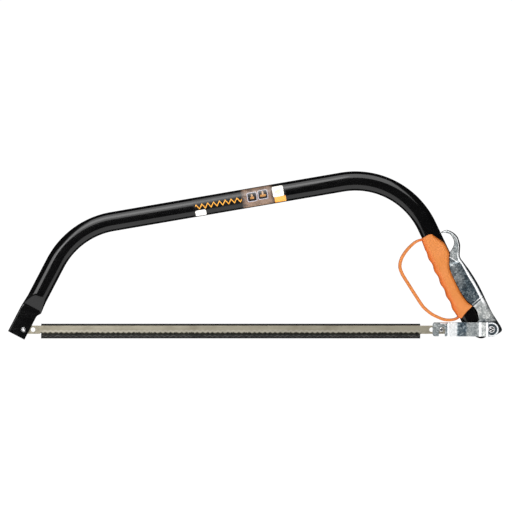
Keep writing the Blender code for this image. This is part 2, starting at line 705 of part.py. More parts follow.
def make_grip():
    f = LEVER_FRONT
    g = GAP
    back = [(GRIP_TOP - 1.5, -6.2), (LOOP_LOW + 16, 7.2), (LOOP_LOW + 12, 7.2), (LOOP_LOW + 0.4, 5.6),
            (LOOP_LOW - 4.2, 4.6), (LOOP_LOW - 8.6, 1.9), (103.6, -f + 1.5), (94.0, -f - g),
            (65.0, -f - g), (47.4, -f + 2.2), (37.0, 3.2)]
    waves = []
    count = 22
    high, low = STRAP_TOP - 16, GRIP_LOW + 8
    for k in range(count + 1):
        u = low + (high - low) * k / count
        waves.append((u, -GRIP_FRONT + FINGER_WAVE * math.cos(2 * math.pi * (u - low) / 33.0)))
    outline = through(back, 3) + [Vector((GRIP_LOW + 6, -8)), Vector((GRIP_LOW, -20.4))]
    outline += [Vector(p) for p in waves]
    outline += [Vector((STRAP_TOP - 7, -GRIP_FRONT + 2)), Vector((STRAP_TOP - 3, -GRIP_FRONT + 4.6)),
                Vector((GRIP_TOP, -GRIP_FRONT + 4.6))]
    grip = prism("hand_grip", [on_leg(*p) for p in outline], -GRIP_WIDTH / 2, GRIP_WIDTH / 2)
    bevel(grip, GRIP_ROUND, 4, 60)
    line = through(strap_line(), 3)
    taper = [0.5 * STRAP_THICK * (0.72 + 0.28 * min(1, 6 * i / len(line), 6 * (len(line) - 1 - i)
                                                     / len(line))) for i in range(len(line))]
    outer = [p + w * inward((line[min(i + 1, len(line) - 1)] - line[max(i - 1, 0)]).normalized())
             for i, (p, w) in enumerate(zip(line, taper))]
    inner = [2 * p - q for p, q in zip(line, outer)]
    strap = prism("knuckle_strap", [on_leg(*p) for p in outer + inner[::-1]],
                  -STRAP_WIDTH / 2, STRAP_WIDTH / 2, CUTTERS)
    bevel(strap, 1.3, 2, 60)
    cut(grip, strap, "UNION")
    leg = PIVOT - PIVOT_BEHIND * LEG_BACK
    along = Vector((LEG_UP.x, 0, LEG_UP.y))
    section = [(w, d) for d, w in oval(TUBE_DEPTH / 2 + GAP, TUBE_WIDTH / 2 + GAP, TUBE_FLAT)]
    bore = prism("grip_bore", section, 5, 185, CUTTERS, (AXIS_Y, AXIS_Y.cross(along), along),
                 Vector((leg.x, 0, leg.y)))
    cut(grip, bore)
    painted(grip, (0.85, 0.27, 0.03), 0.45, 0.0)
    return rounded(grip, 40)


# ---------------------------------------------------------------- assembly
make_tube()
make_label()
make_grip()
hung_on(make_lever(), PIVOT)
hung_on(make_link(), CRANK_PIN)
make_pivot_rivet()
hung_on(make_link_rivet("link_rivet_near", -1), CRANK_PIN)
hung_on(make_link_rivet("link_rivet_far", 1), CRANK_PIN)
hung_on(make_blade(), (0, 0))
make_front_pin()
hung_on(make_rear_pin(), (PIN_SPAN, 0))
make_guard()


def seat_on_origin():
    """Puts the bottom centre of the whole saw at the origin."""
    bpy.context.view_layer.update()
    deps = bpy.context.evaluated_depsgraph_get()
    lows, highs = Vector((9, 9, 9)), Vector((-9, -9, -9))
    for obj in PARTS.objects:
        if obj.type != "MESH":
            continue
        seen = obj.evaluated_get(deps)
        for v in seen.to_mesh().vertices:
            p = seen.matrix_world @ v.co
            for i in range(3):
                lows[i] = min(lows[i], p[i])
                highs[i] = max(highs[i], p[i])
        seen.to_mesh_clear()
    DATUM.location = (-(lows.x + highs.x) / 2, -(lows.y + highs.y) / 2, -lows.z)
    print("box", [round(v / MM, 2) for v in highs - lows],
          "datum", [round(v / MM, 2) for v in DATUM.location])


seat_on_origin()
for item in list(PARTS.objects) + list(CUTTERS.objects):
    if item is not DATUM:
        item.parent = DATUM
for item in CUTTERS.objects:
    item.hide_render = True
    item.display_type = "WIRE"
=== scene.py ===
"""Bow saw: finished surfaces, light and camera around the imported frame.

Lengths are millimetres from the front blade pin (x along the blade, z up, y across), as in part.py;
at() turns them into the row frame.
"""
import math

import bmesh
import bpy
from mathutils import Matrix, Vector


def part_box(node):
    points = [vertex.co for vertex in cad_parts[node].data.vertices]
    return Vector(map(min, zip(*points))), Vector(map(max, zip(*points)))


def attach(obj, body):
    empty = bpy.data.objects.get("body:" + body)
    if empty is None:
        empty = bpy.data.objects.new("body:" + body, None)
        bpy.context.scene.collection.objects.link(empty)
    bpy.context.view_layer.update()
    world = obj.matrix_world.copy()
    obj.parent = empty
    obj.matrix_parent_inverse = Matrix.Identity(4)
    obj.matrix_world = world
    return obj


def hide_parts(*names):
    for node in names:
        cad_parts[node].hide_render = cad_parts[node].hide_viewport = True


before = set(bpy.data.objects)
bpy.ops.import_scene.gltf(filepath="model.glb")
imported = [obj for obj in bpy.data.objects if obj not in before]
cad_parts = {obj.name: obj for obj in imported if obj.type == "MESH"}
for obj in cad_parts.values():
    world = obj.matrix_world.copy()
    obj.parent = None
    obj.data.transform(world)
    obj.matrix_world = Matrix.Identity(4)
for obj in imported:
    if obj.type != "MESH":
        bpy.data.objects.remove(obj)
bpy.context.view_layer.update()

MM = 0.001
pin_low, pin_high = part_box("front_blade_pin")
DATUM = (pin_low + pin_high) / 2
DATUM.y = 0.0

# sizes shared with the solids
PIN_SPAN = 607.0
BLADE_PIN_R = 3.0
PIN_GAP = 0.3
GAP = 0.3
BLADE_THICK = 0.9
BLADE_BACK = 5.9
TANG_DROP = 6.2
TOOTH_ROOT = 5.4
TOOTH_TIP = 11.4
TOOTH_PITCH = 5.5
GULLET_DEPTH = 2.6
TEETH_START = 27.0
TEETH_END = PIN_SPAN - 29.0
TANG_END = 9.0
SPARE_HOLE = 14.0
TUBE_DEPTH = 28.4
TUBE_WIDTH = 16.0
TUBE_WALL = 1.5
TUBE_FLAT = 0.35
BEND_R = 115.0
FRONT_LEAN = 62.5
FRONT_OFFSET = 3.4
TOP_RISE = 9.75
TOP_MID = Vector((PIN_SPAN / 2 - 3.5, 186.4))
REAR_LEAN = 64.6
FOOT_BELOW = 12.3
FOOT_HALF = 15.7
FOOT_TRIM = 11.3
FOOT_FLAT = 38.0
FOOT_BLEND = 26.0
PIVOT = Vector((PIN_SPAN + 57.6, -0.4))
PIVOT_BEHIND = 6.15
CRANK = 14.73
CRANK_ANGLE = 3.5
SHEET = 1.5
LEVER_BACK = 25.3
LEVER_WAIST = 18.0
LEVER_HEEL = 27.6
LEVER_TIP = 153.2
LEVER_FRONT = 3.5
LOOP_LOW = 121.0
LOOP_BAND = 6.0
CHEEK_R = 9.5
TAIL_R = 12.2
PIVOT_R = 3.0
PIVOT_HEAD_R = 4.4
PIVOT_HEAD = 0.65
LINK_PIN_R = 2.6
LINK_HEAD_R = 4.7
LINK_HEAD = 0.6
SHOULDER_R = 4.2
LINK_SHEET = 2.0
LINK_FRONT = PIN_SPAN - 12.4
LINK_TOP = 10.6
LINK_DROP = 9.7
LINK_EAR_R = 10.4
FOLD_START = PIN_SPAN - 1.0
FLARE_START = PIN_SPAN + 10.3
FLARE_END = PIN_SPAN + 22.5
STEP_START = PIVOT.x + CRANK - 15.3
STEP_END = PIVOT.x + CRANK - 5.3
EAR_FLARE = 1.85
HOOK_SLACK = 2.0
GRIP_WIDTH = 31.0
GRIP_TOP = 158.0
GRIP_LOW = 27.0
GRIP_FRONT = 23.4
FINGER_WAVE = 0.75
FINGER_PITCH = 20.2
STRAP_WIDTH = 17.0
STRAP_THICK = 4.4
STRAP_REACH = 68.3
STRAP_TOP = 155.5
STRAP_LOW = 30.0
GUARD_START = 25.7
GUARD_END = PIN_SPAN - 30.5
GUARD_WALL = 1.5
GUARD_BACK = 8.6
GUARD_LIP = 7.0
GUARD_FLOOR = 1.1
LABEL_START = TOP_MID.x - 53.0
LABEL_END = TOP_MID.x + 81.0

# surface detail that only shows here
GRIP_NOSE = 6.5           # rounding on the finger side
GRIP_HEEL = 5.0           # rounding on the tube side
GRIP_LIP = 1.3            # rounding at the two ends
TOOTH_SET = 0.22
EDGE_BREAK = 0.35         # deburred edges of pressed sheet
CHEEK_SWELL = 1.3         # middle of the lever's cheeks stands out by this
LOOP_TAPER = 2.6          # the loop is this much narrower on each side


# ---------------------------------------------------------------- directions and outlines
def heading(degrees):
    """Unit direction turned up from the blade's rear end by the angle."""
    a = math.radians(degrees)
    return Vector((math.cos(a), math.sin(a)))


def inward(direction):
    """The direction turned a quarter to its right, which is into the bow along its line."""
    return Vector((direction.y, -direction.x))


ORIGIN = Vector((0.0, 0.0))
ALONG = Vector((1.0, 0.0))
UP = Vector((0.0, 1.0))
FRONT_DIR = heading(FRONT_LEAN)
TOP_DIR = heading(TOP_RISE)
REAR_DIR = heading(-REAR_LEAN)
LEG_UP = -REAR_DIR
LEG_BACK = Vector((LEG_UP.y, -LEG_UP.x))
CRANK_PIN = PIVOT + CRANK * heading(CRANK_ANGLE)


def at(x, y, z):
    """Point of the row frame from millimetres about the front blade pin."""
    return DATUM + Vector((x, y, z)) * MM


def on_leg(up, back):
    """Point up the rear leg from the lever's pivot and behind it."""
    return PIVOT + up * LEG_UP + back * LEG_BACK


def crossing(p, d, q, e):
    """Where the line from p along d meets the line from q along e."""
    det = d.x * e.y - d.y * e.x
    t = ((q.x - p.x) * e.y - (q.y - p.y) * e.x) / det
    return p + t * d


def through(points, steps):
    """Smooth open line through the points."""
    pts = [Vector(p) for p in points]
    line = []
    for i in range(len(pts) - 1):
        a = pts[i - 1] if i else 2 * pts[0] - pts[1]
        b, c = pts[i], pts[i + 1]
        d = pts[i + 2] if i + 2 < len(pts) else 2 * pts[-1] - pts[-2]
        for k in range(steps):
            t = k / steps
            line.append(0.5 * (2 * b + (c - a) * t + (2 * a - 5 * b + 4 * c - d) * t * t
                               + (3 * b - a - 3 * c + d) * t ** 3))
    line.append(pts[-1])
    return line


def beside(line, offset):
    """Open line moved to its right by the offset."""
    out = []
    for i, p in enumerate(line):
        a = line[max(i - 1, 0)]
        b = line[min(i + 1, len(line) - 1)]
        out.append(p + offset * inward((b - a).normalized()))
    return out


def arc(centre, radius, start, end, steps):
    """Points of an arc, with its angles in degrees."""
    centre = Vector(centre)
    return [centre + radius * heading(start + (end - start) * k / steps) for k in range(steps + 1)]


def filleted(points, radius, steps=8):
    """Open polyline with its inner corners rounded."""
    pts = [Vector(p) for p in points]
    out = [pts[0]]
    for before, corner, after in zip(pts, pts[1:], pts[2:]):
        a = (before - corner).normalized()
        b = (after - corner).normalized()
        half = a.angle(b) / 2
        r = min(radius, 0.45 * math.tan(half) * min((before - corner).length, (after - corner).length))
        centre = corner + (a + b).normalized() * r / math.sin(half)
        first = corner + a * r / math.tan(half) - centre
        last = corner + b * r / math.tan(half) - centre
        turn = math.atan2(first.x * last.y - first.y * last.x, first.dot(last))
        for k in range(steps + 1):
            angle = turn * k / steps
            c, s = math.cos(angle), math.sin(angle)
            out.append(centre + Vector((first.x * c - first.y * s, first.x * s + first.y * c)))
    out.append(pts[-1])
    return out


# ---------------------------------------------------------------- meshes
def piece(name, verts, faces):
    """Mesh object in the scene with its faces turned outward."""
    mesh = bpy.data.meshes.new(name)
    mesh.from_pydata([tuple(v) for v in verts], [], faces)
    work = bmesh.new()
    work.from_mesh(mesh)
    bmesh.ops.recalc_face_normals(work, faces=work.faces)
    work.to_mesh(mesh)
    work.free()
    obj = bpy.data.objects.new(name, mesh)
    bpy.context.scene.collection.objects.link(obj)
    return obj


def slab(name, outline, low, high, place=None):
    """Closed outline run from low to high; place turns (a, b, depth) into a point."""
    place = place or (lambda a, b, depth: at(a, depth, b))
    count = len(outline)
    verts = [place(p[0], p[1], low) for p in outline] + [place(p[0], p[1], high) for p in outline]
    faces = [tuple(range(count)), tuple(range(2 * count - 1, count - 1, -1))]
    faces += [(i, (i + 1) % count, count + (i + 1) % count, count + i) for i in range(count)]
    return piece(name, verts, faces)


def rounded(half_a, half_b, radius, steps):
    """Rounded rectangle about zero."""
    out = []
    for a, b, start in ((1, 1, 0), (-1, 1, 90), (-1, -1, 180), (1, -1, 270)):
        corner = Vector((a * (half_a - radius), b * (half_b - radius)))
        out += [corner + radius * heading(start + 90 * k / steps) for k in range(steps + 1)]
    return out


def blurred(values, passes):
    """Values around a closed line, smoothed with their neighbours."""
    for _ in range(passes):
        values = [(values[i - 1] + 2 * v + values[(i + 1) % len(values)]) / 4
                  for i, v in enumerate(values)]
    return values


def spaced(points, step):
    """Open line with its long sides divided, without its last point."""
    out = []
    for a, b in zip(points, points[1:]):
        count = max(1, round((b - a).length / step))
        out += [a + (b - a) * k / count for k in range(count)]
    return out


def roomy(pts, radii, reach=2):
    """Rim radii made smaller where the closed outline bends too tightly to hold them."""
    count = len(pts)
    turn = sum(a.x * b.y - b.x * a.y for a, b in zip(pts, pts[1:] + pts[:1]))
    limits = []
    for i, p in enumerate(pts):
        before, after = p - pts[i - reach], pts[(i + reach) % count] - p
        bend = math.atan2(before.x * after.y - before.y * after.x, before.dot(after))
        bend *= math.copysign(1, turn)
        limits.append(0.8 * 0.5 * (before.length + after.length) / max(bend, 0.01))
    room = [min(limits[(i + k) % count] for k in range(-2, 3)) for i in range(count)]
    return [min(a, b) for a, b in zip(blurred([min(a, b) for a, b in zip(radii, room)], 4), room)]


def pillow(name, outline, half, radii, steps=8):
    """Closed outline between -half and half whose two rims are rounded by a radius at each point."""
    pts = [Vector(p) for p in outline]
    count = len(pts)
    turn = sum(a.x * b.y - b.x * a.y for a, b in zip(pts, pts[1:] + pts[:1]))
    inner = []
    for i, p in enumerate(pts):
        before = (p - pts[i - 1]).normalized()
        after = (pts[(i + 1) % count] - p).normalized()
        way = (before + after).normalized()
        left = Vector((-way.y, way.x)) * (1 if turn > 0 else -1)
        inner.append(left / max(way.dot(before), 0.6))
    rings = []
    for k in range(2 * steps + 2):
        side, step = (-1, k) if k <= steps else (1, 2 * steps + 1 - k)
        angle = math.radians(90) * (1 - step / steps)
        rings.append([at(p.x + r * (1 - math.cos(angle)) * n.x,
                         side * (half - r + r * math.sin(angle)),
                         p.y + r * (1 - math.cos(angle)) * n.y)
                      for p, n, r in zip(pts, inner, radii)])
    return skin(name, rings)


def skin(name, rings, closed=False):
    """Rings of points joined into one surface, either back to the first ring or with flat ends."""
    count = len(rings[0])
    verts = [p for ring in rings for p in ring]
    faces = []
    for i in range(len(rings) if closed else len(rings) - 1):
        j = (i + 1) % len(rings)
        for k in range(count):
            n = (k + 1) % count
            faces.append((i * count + k, i * count + n, j * count + n, j * count + k))
    if not closed:
        faces += [tuple(range(count)), tuple(range(len(verts) - 1, len(verts) - count - 1, -1))]
    return piece(name, verts, faces)


def lathe(name, profile, centre, steps=64):
    """Solid of revolution about a y axis through centre (x, z); profile is (radius, y), axis to axis."""
    rings = []
    for r, y in profile[1:-1]:
        rings.append([at(centre[0] + r * math.cos(2 * math.pi * k / steps), y,
                         centre[1] + r * math.sin(2 * math.pi * k / steps)) for k in range(steps)])
    verts = [p for ring in rings for p in ring]
    faces = []
    for i in range(len(rings) - 1):
        for k in range(steps):
            n = (k + 1) % steps
            faces.append((i * steps + k, i * steps + n, (i + 1) * steps + n, (i + 1) * steps + k))
    first, last = len(verts), len(verts) + 1
    verts += [at(centre[0], profile[0][1], centre[1]), at(centre[0], profile[-1][1], centre[1])]
    base = (len(rings) - 1) * steps
    for k in range(steps):
        n = (k + 1) % steps
        faces += [(first, n, k), (last, base + k, base + n)]
    return piece(name, verts, faces)


def settle(obj):
    """Modifiers made part of the mesh."""
    bpy.context.view_layer.update()
    seen = obj.evaluated_get(bpy.context.evaluated_depsgraph_get())
    mesh = bpy.data.meshes.new_from_object(seen)
    obj.modifiers.clear()
    obj.data = mesh
    return obj


def combine(obj, tools, how="DIFFERENCE"):
    """Tools cut from the object, or joined to it or kept from it as how says, and then removed."""
    for tool in tools:
        mod = obj.modifiers.new("combine", "BOOLEAN")
        mod.operation = how
        mod.solver = "EXACT"
        mod.object = tool
        settle(obj)
    for tool in tools:
        bpy.data.objects.remove(tool)
    return obj


def bevel(obj, width, segments, angle):
    """Edges sharper than the angle broken by the width."""
    mod = obj.modifiers.new("bevel", "BEVEL")
    mod.width = width * MM
    mod.segments = segments
    mod.limit_method = "ANGLE"
    mod.angle_limit = math.radians(angle)
    mod.miter_outer = "MITER_ARC"
    return settle(obj)


def rod(centre, radius, low, high, steps=48):
    """Round bar across the saw, used to cut holes."""
    return slab("rod", arc(centre, radius, 0, 360 * (steps - 1) / steps, steps - 1), low, high)


def finish_piece(obj, material, body, replaced, sharp=35, flat_sides=True):
    for face in obj.data.polygons:
        face.use_smooth = True
    obj.data.set_sharp_from_angle(angle=math.radians(sharp))
    if flat_sides:
        mod = obj.modifiers.new("normals", "WEIGHTED_NORMAL")
        mod.keep_sharp = True
        mod.weight = 60
    obj.data.materials.clear()
    obj.data.materials.append(material)
    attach(obj, body)
    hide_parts(*replaced)
    return obj


# ---------------------------------------------------------------- shader helpers
class Shade:
    """A material under construction; values are sockets or numbers."""

    def __init__(self, name, colour, rough, metal=0.0, **sockets):
        self.material = bpy.data.materials.new(name)
        self.material.use_nodes = True
        self.tree = self.material.node_tree
        self.surface = self.tree.nodes["Principled BSDF"]
        self.set("Base Color", colour)
        self.set("Roughness", rough)
        self.set("Metallic", metal)
        for key, value in sockets.items():
            self.set(key.replace("_", " "), value)
        self.place = self.tree.nodes.new("ShaderNodeTexCoord").outputs["Object"]

    def set(self, key, value):
        self.plug(self.surface.inputs[key], value)

    def plug(self, socket, value):
        if isinstance(value, bpy.types.NodeSocket):
            self.tree.links.new(value, socket)
        elif isinstance(value, tuple) and len(value) == 3 and len(socket.default_value) == 4:
            socket.default_value = (*value, 1.0)
        else:
            socket.default_value = value

    def node(self, kind, inputs=None, **props):
        made = self.tree.nodes.new(kind)
        for key, value in props.items():
            setattr(made, key, value)
        for key, value in (inputs or {}).items():
            self.plug(made.inputs[key], value)
        return made

    def stretched(self, x, y, z, turn=0.0):
        return self.node("ShaderNodeMapping", {"Vector": self.place, "Scale": (x, y, z),
                                               "Rotation": (0.0, turn, 0.0)}).outputs["Vector"]

    def vector(self, operation, a, b=None, out="Vector"):
        inputs = {0: a} if b is None else {0: a, 1: b}
        return self.node("ShaderNodeVectorMath", inputs, operation=operation).outputs[out]

    def normal(self):
        return self.tree.nodes.new("ShaderNodeTexCoord").outputs["Normal"]

    def along(self, direction, start=ORIGIN):
        """Millimetres along an x, z direction from the start."""
        offset = self.vector("SUBTRACT", self.place, tuple(at(start.x, 0.0, start.y)))
        return self.vector("DOT_PRODUCT", offset, (direction.x / MM, 0.0, direction.y / MM), "Value")

    def toward(self, direction):
        """How far the surface turns towards an x, z direction."""
        return self.vector("DOT_PRODUCT", self.normal(), (direction.x, 0.0, direction.y), "Value")

    def lean(self):
        """0 where the surface faces across the saw, 1 where it is seen edge on."""
        flat = self.vector("MULTIPLY", self.normal(), (1.0, 0.0, 1.0))
        return self.vector("LENGTH", flat, out="Value")

    def line(self, value, centre, half, soft=0.4):
        """1 within half of the centre, falling off over soft."""
        far = self.math("ABSOLUTE", self.minus(value, centre))
        return self.remap(far, half - soft, half + soft, 1.0, 0.0)

    def noise(self, scale, detail=4.0, rough=0.55, place=None):
        return self.node("ShaderNodeTexNoise", {"Vector": place or self.place, "Scale": scale,
                                                "Detail": detail, "Roughness": rough}).outputs["Fac"]

    def cells(self, scale, place):
        return self.node("ShaderNodeTexVoronoi", {"Vector": place, "Scale": scale}).outputs["Color"]

    def math(self, operation, a, b=0.0, clamp=False):
        made = self.node("ShaderNodeMath", {0: a, 1: b}, operation=operation, use_clamp=clamp)
        return made.outputs[0]

    def add(self, *values, clamp=False):
        total = values[0]
        for value in values[1:-1]:
            total = self.math("ADD", total, value)
        return self.math("ADD", total, values[-1], clamp)

    def times(self, *values):
        product = values[0]
        for value in values[1:]:
            product = self.math("MULTIPLY", product, value)
        return product

    def minus(self, a, b):
        return self.math("SUBTRACT", a, b)

    def remap(self, value, low, high, to_low, to_high):
        return self.node("ShaderNodeMapRange", {"Value": value, "From Min": low, "From Max": high,
                                                "To Min": to_low, "To Max": to_high}).outputs["Result"]

    def fade(self, value, low, high, top=1.0):
        """0 at low, rising to the top at high."""
        return self.remap(value, low, high, 0.0, top)

    def ramp(self, value, *stops):
        made = self.node("ShaderNodeValToRGB", {"Fac": value})
        while len(made.color_ramp.elements) < len(stops):
            made.color_ramp.elements.new(0.5)
        for element, (position, colour) in zip(made.color_ramp.elements, stops):
            element.position = position
            element.color = (*colour, 1.0)
        return made.outputs["Color"]

    def mix(self, factor, a, b, blend="MIX"):
        made = self.node("ShaderNodeMix", {"Factor": factor}, data_type="RGBA", blend_type=blend)
        self.plug(made.inputs[6], a)
        self.plug(made.inputs[7], b)
        return made.outputs[2]

    def bump(self, height, distance, strength=1.0, under=None):
        made = self.node("ShaderNodeBump", {"Height": height, "Distance": distance,
                                            "Strength": strength})
        if under is not None:
            self.plug(made.inputs["Normal"], under)
        self.set("Normal", made.outputs["Normal"])
        return made.outputs["Normal"]


def enamel():
    m = Shade("gloss_black_enamel", (0.003, 0.003, 0.003), 0.1, 0.0)
    blotch = m.noise(38.0, 3.0)
    m.set("Base Color", m.ramp(blotch, (0.3, (0.0010, 0.0010, 0.0011)), (0.75, (0.0022, 0.0021, 0.0022))))
    scuffs = m.noise(26.0, 9.0, 0.75, m.stretched(1.0, 3.0, 9.0, 0.17))
    m.set("Roughness", m.remap(scuffs, 0.35, 0.75, 0.07, 0.19))
    peel = m.bump(m.noise(420.0, 2.0), 0.00001, 0.25)
    m.bump(m.noise(2400.0, 2.0), 0.000002, 0.2, peel)
    return m.material


def orange_plastic():
    m = Shade("moulded_orange_plastic", (0.85, 0.25, 0.03), 0.45, 0.0, Specular_IOR_Level=0.45)
    drift = m.noise(34.0, 5.0, 0.6)
    flecks = m.noise(1300.0, 2.0)
    face = m.ramp(drift, (0.3, (0.520, 0.168, 0.026)), (0.7, (0.585, 0.192, 0.044)))
    face = m.mix(m.fade(flecks, 0.35, 0.7, 0.2), face, (0.48, 0.13, 0.016))
    # painted shade: darker, more saturated orange where the moulding turns edge on and in a band along the
    # finger side
    turned = m.fade(m.lean(), 0.12, 0.8, 0.5)
    finger_edge_shade = m.line(m.along(LEG_BACK, PIVOT), 0.8 - GRIP_FRONT, 3.6, 3.0)
    m.set("Base Color", m.mix(m.math("MAXIMUM", turned, finger_edge_shade), face, (0.54, 0.108, 0.008)))
    m.set("Roughness", m.remap(m.noise(60.0, 5.0), 0.3, 0.7, 0.38, 0.55))
    grain = m.bump(m.noise(1700.0, 3.0, 0.6), 0.00003, 0.3)
    m.bump(m.noise(90.0, 2.0), 0.00012, 0.2, grain)
    return m.material


def spangled_zinc(name, scale, depth, painted_reflection, painted_highlight, painted_shade):
    """Hot-dip galvanised sheet: small crystals of unlike tone, lighter where reflected light is painted in.

    The last three arguments are masks, each a function of the Shade: how much lighter each place is painted
    to stand in for reflected light, 1 where a highlight along a bend is painted, and 1 where shade is
    painted.
    """
    m = Shade(name, (0.5, 0.5, 0.5), 0.34, 0.62)
    wobble = m.node("ShaderNodeTexNoise", {"Vector": m.place, "Scale": 350.0}).outputs["Color"]
    shift = m.node("ShaderNodeVectorMath", {0: wobble, "Scale": 0.0022}, operation="SCALE")
    warped = m.vector("ADD", m.place, shift.outputs["Vector"])
    big = m.node("ShaderNodeSeparateColor", {"Color": m.cells(scale, warped)})
    small = m.node("ShaderNodeSeparateColor", {"Color": m.cells(scale * 2.7, warped)})
    crystal = m.add(m.times(big.outputs[0], 0.5), m.times(small.outputs[1], 0.32),
                    m.times(m.noise(900.0, 5.0, 0.7), 0.22))
    tones = ((0.2, (0.022, 0.034, 0.046)), (0.5, (0.085, 0.125, 0.155)),
             (0.68, (0.16, 0.21, 0.24)), (0.9, (0.44, 0.49, 0.52)))
    dark = m.ramp(crystal, *[(stop, tuple(depth * c for c in tone)) for stop, tone in tones])
    pale = m.ramp(crystal, (0.15, (0.23, 0.25, 0.26)), (0.5, (0.45, 0.47, 0.46)),
                  (0.85, (0.76, 0.77, 0.75)))
    # painted reflection: this mask lightens the zinc where reflected light is painted in; random tone is
    # added on top
    reflection_and_tone = m.add(painted_reflection(m), m.remap(m.noise(75.0, 5.0, 0.6), 0.35, 0.75, -0.22, 0.22), clamp=True)
    # painted highlight: near white and less metallic where the highlight mask is 1; painted shade: near
    # black where the shade mask is 1
    line = painted_highlight(m)
    zinc = m.mix(line, m.mix(reflection_and_tone, dark, pale), (0.96, 0.97, 0.98))
    m.set("Base Color", m.mix(painted_shade(m), zinc, (0.010, 0.012, 0.014)))
    m.set("Metallic", m.remap(line, 0.0, 1.0, 0.62, 0.12))
    patches = m.add(m.times(small.outputs[0], 0.5), m.times(m.noise(260.0), 0.5))
    m.set("Roughness", m.add(m.remap(patches, 0.2, 0.8, 0.24, 0.46), m.times(reflection_and_tone, 0.08)))
    facets = m.bump(crystal, 0.00004, 0.5)
    m.bump(m.noise(1100.0, 4.0, 0.7), 0.00002, 0.45, facets)
    return m.material


def lever_zinc():
    def up(m):
        return m.along(LEG_UP, PIVOT)

    def back(m):
        return m.along(LEG_BACK, PIVOT)

    def joggle(m):
        """Distance above the lower pressed step, which runs up towards the back."""
        return m.minus(m.minus(up(m), 37.7), m.times(back(m), 0.28))

    def crease(m):
        """Distance above the fold under the loop, which runs down towards the back."""
        return m.minus(m.add(up(m), m.times(back(m), 1.6)), 121.8)

    # painted reflection: streaks across the lower cheeks
    def streaks(m):
        return m.noise(1.0, 5.0, 0.65, m.stretched(70.0, 1.0, 620.0, math.radians(90 - REAR_LEAN)))

    # painted reflection: the loop, the cheeks below the lower step and a patch of the middle panel are
    # painted lighter; the toe and the lower front corner are kept darker
    def painted_reflection(m):
        top = m.fade(crease(m), -1.0, 2.0, 0.5)
        low = m.fade(joggle(m), -2.4, -3.6, 1.4)
        toe = m.fade(up(m), 14.0, 2.0)
        corner = m.times(m.fade(up(m), 26.0, 12.0), m.fade(back(m), 15.0, 9.0, 0.85))
        mottled = m.times(m.fade(up(m), 62.0, 80.0), m.fade(back(m), 14.0, 6.0, 0.36))
        streaky_reflection = m.times(m.remap(streaks(m), 0.4, 0.6, -0.4, 0.3), m.fade(up(m), 38.0, 28.0))
        low = m.add(m.minus(low, m.add(toe, corner)), streaky_reflection)
        return m.add(top, m.math("MAXIMUM", low, 0.0), mottled)

    # painted highlight: light painted along the back bend, round the loop, on the pressed step and on the
    # fold under the loop
    def painted_highlight(m):
        turn, lean = m.toward(LEG_BACK), m.lean()
        bend = m.times(m.fade(turn, 0.08, 0.2), m.remap(turn, 0.5, 0.7, 1.0, 0.0),
                       m.line(up(m), 72.0, 40.0, 6.0))
        eye = m.times(m.fade(lean, 0.2, 0.35, 0.75), m.remap(lean, 0.4, 0.55, 1.0, 0.0),
                      m.fade(up(m), 108.0, 114.0))
        bend = m.times(m.add(bend, eye), m.remap(m.noise(160.0, 4.0), 0.3, 0.42, 0.7, 1.0))
        # random strength along the painted highlight on the step
        wear_and_glint = m.remap(m.noise(240.0, 4.0), 0.35, 0.6, 0.25, 0.8)
        step = m.times(m.add(m.line(joggle(m), 0.0, 0.8), m.times(m.line(joggle(m), -3.8, 1.0), 0.5)), wear_and_glint)
        fold = m.times(m.line(crease(m), 0.0, 1.0), m.fade(back(m), 13.0, 10.0, 0.8))
        return m.add(bend, step, fold, clamp=True)

    # painted shade: a dark band outside the highlight on the back bend, dark outlines round the loop, a
    # black toe at the pivot and a dark line beside the lower step
    def painted_shade(m):
        turn = m.toward(LEG_BACK)
        band = m.times(m.fade(turn, 0.64, 0.78, 0.75), m.remap(turn, 0.92, 0.99, 1.0, 0.5),
                       m.remap(up(m), 20.0, 38.0, 0.15, 1.0))
        eye = m.times(m.fade(m.lean(), 0.5, 0.62, 0.92), m.fade(up(m), 108.0, 114.0))
        toe = m.fade(m.add(up(m), m.times(m.noise(200.0, 4.0), 3.0)), 6.5, 3.5, 0.9)
        groove = m.times(m.line(joggle(m), -1.9, 0.7), 0.4)
        return m.add(m.math("MAXIMUM", m.math("MAXIMUM", band, eye), toe), groove, clamp=True)

    return spangled_zinc("spangled_lever_zinc", 330.0, 0.62, painted_reflection, painted_highlight, painted_shade)


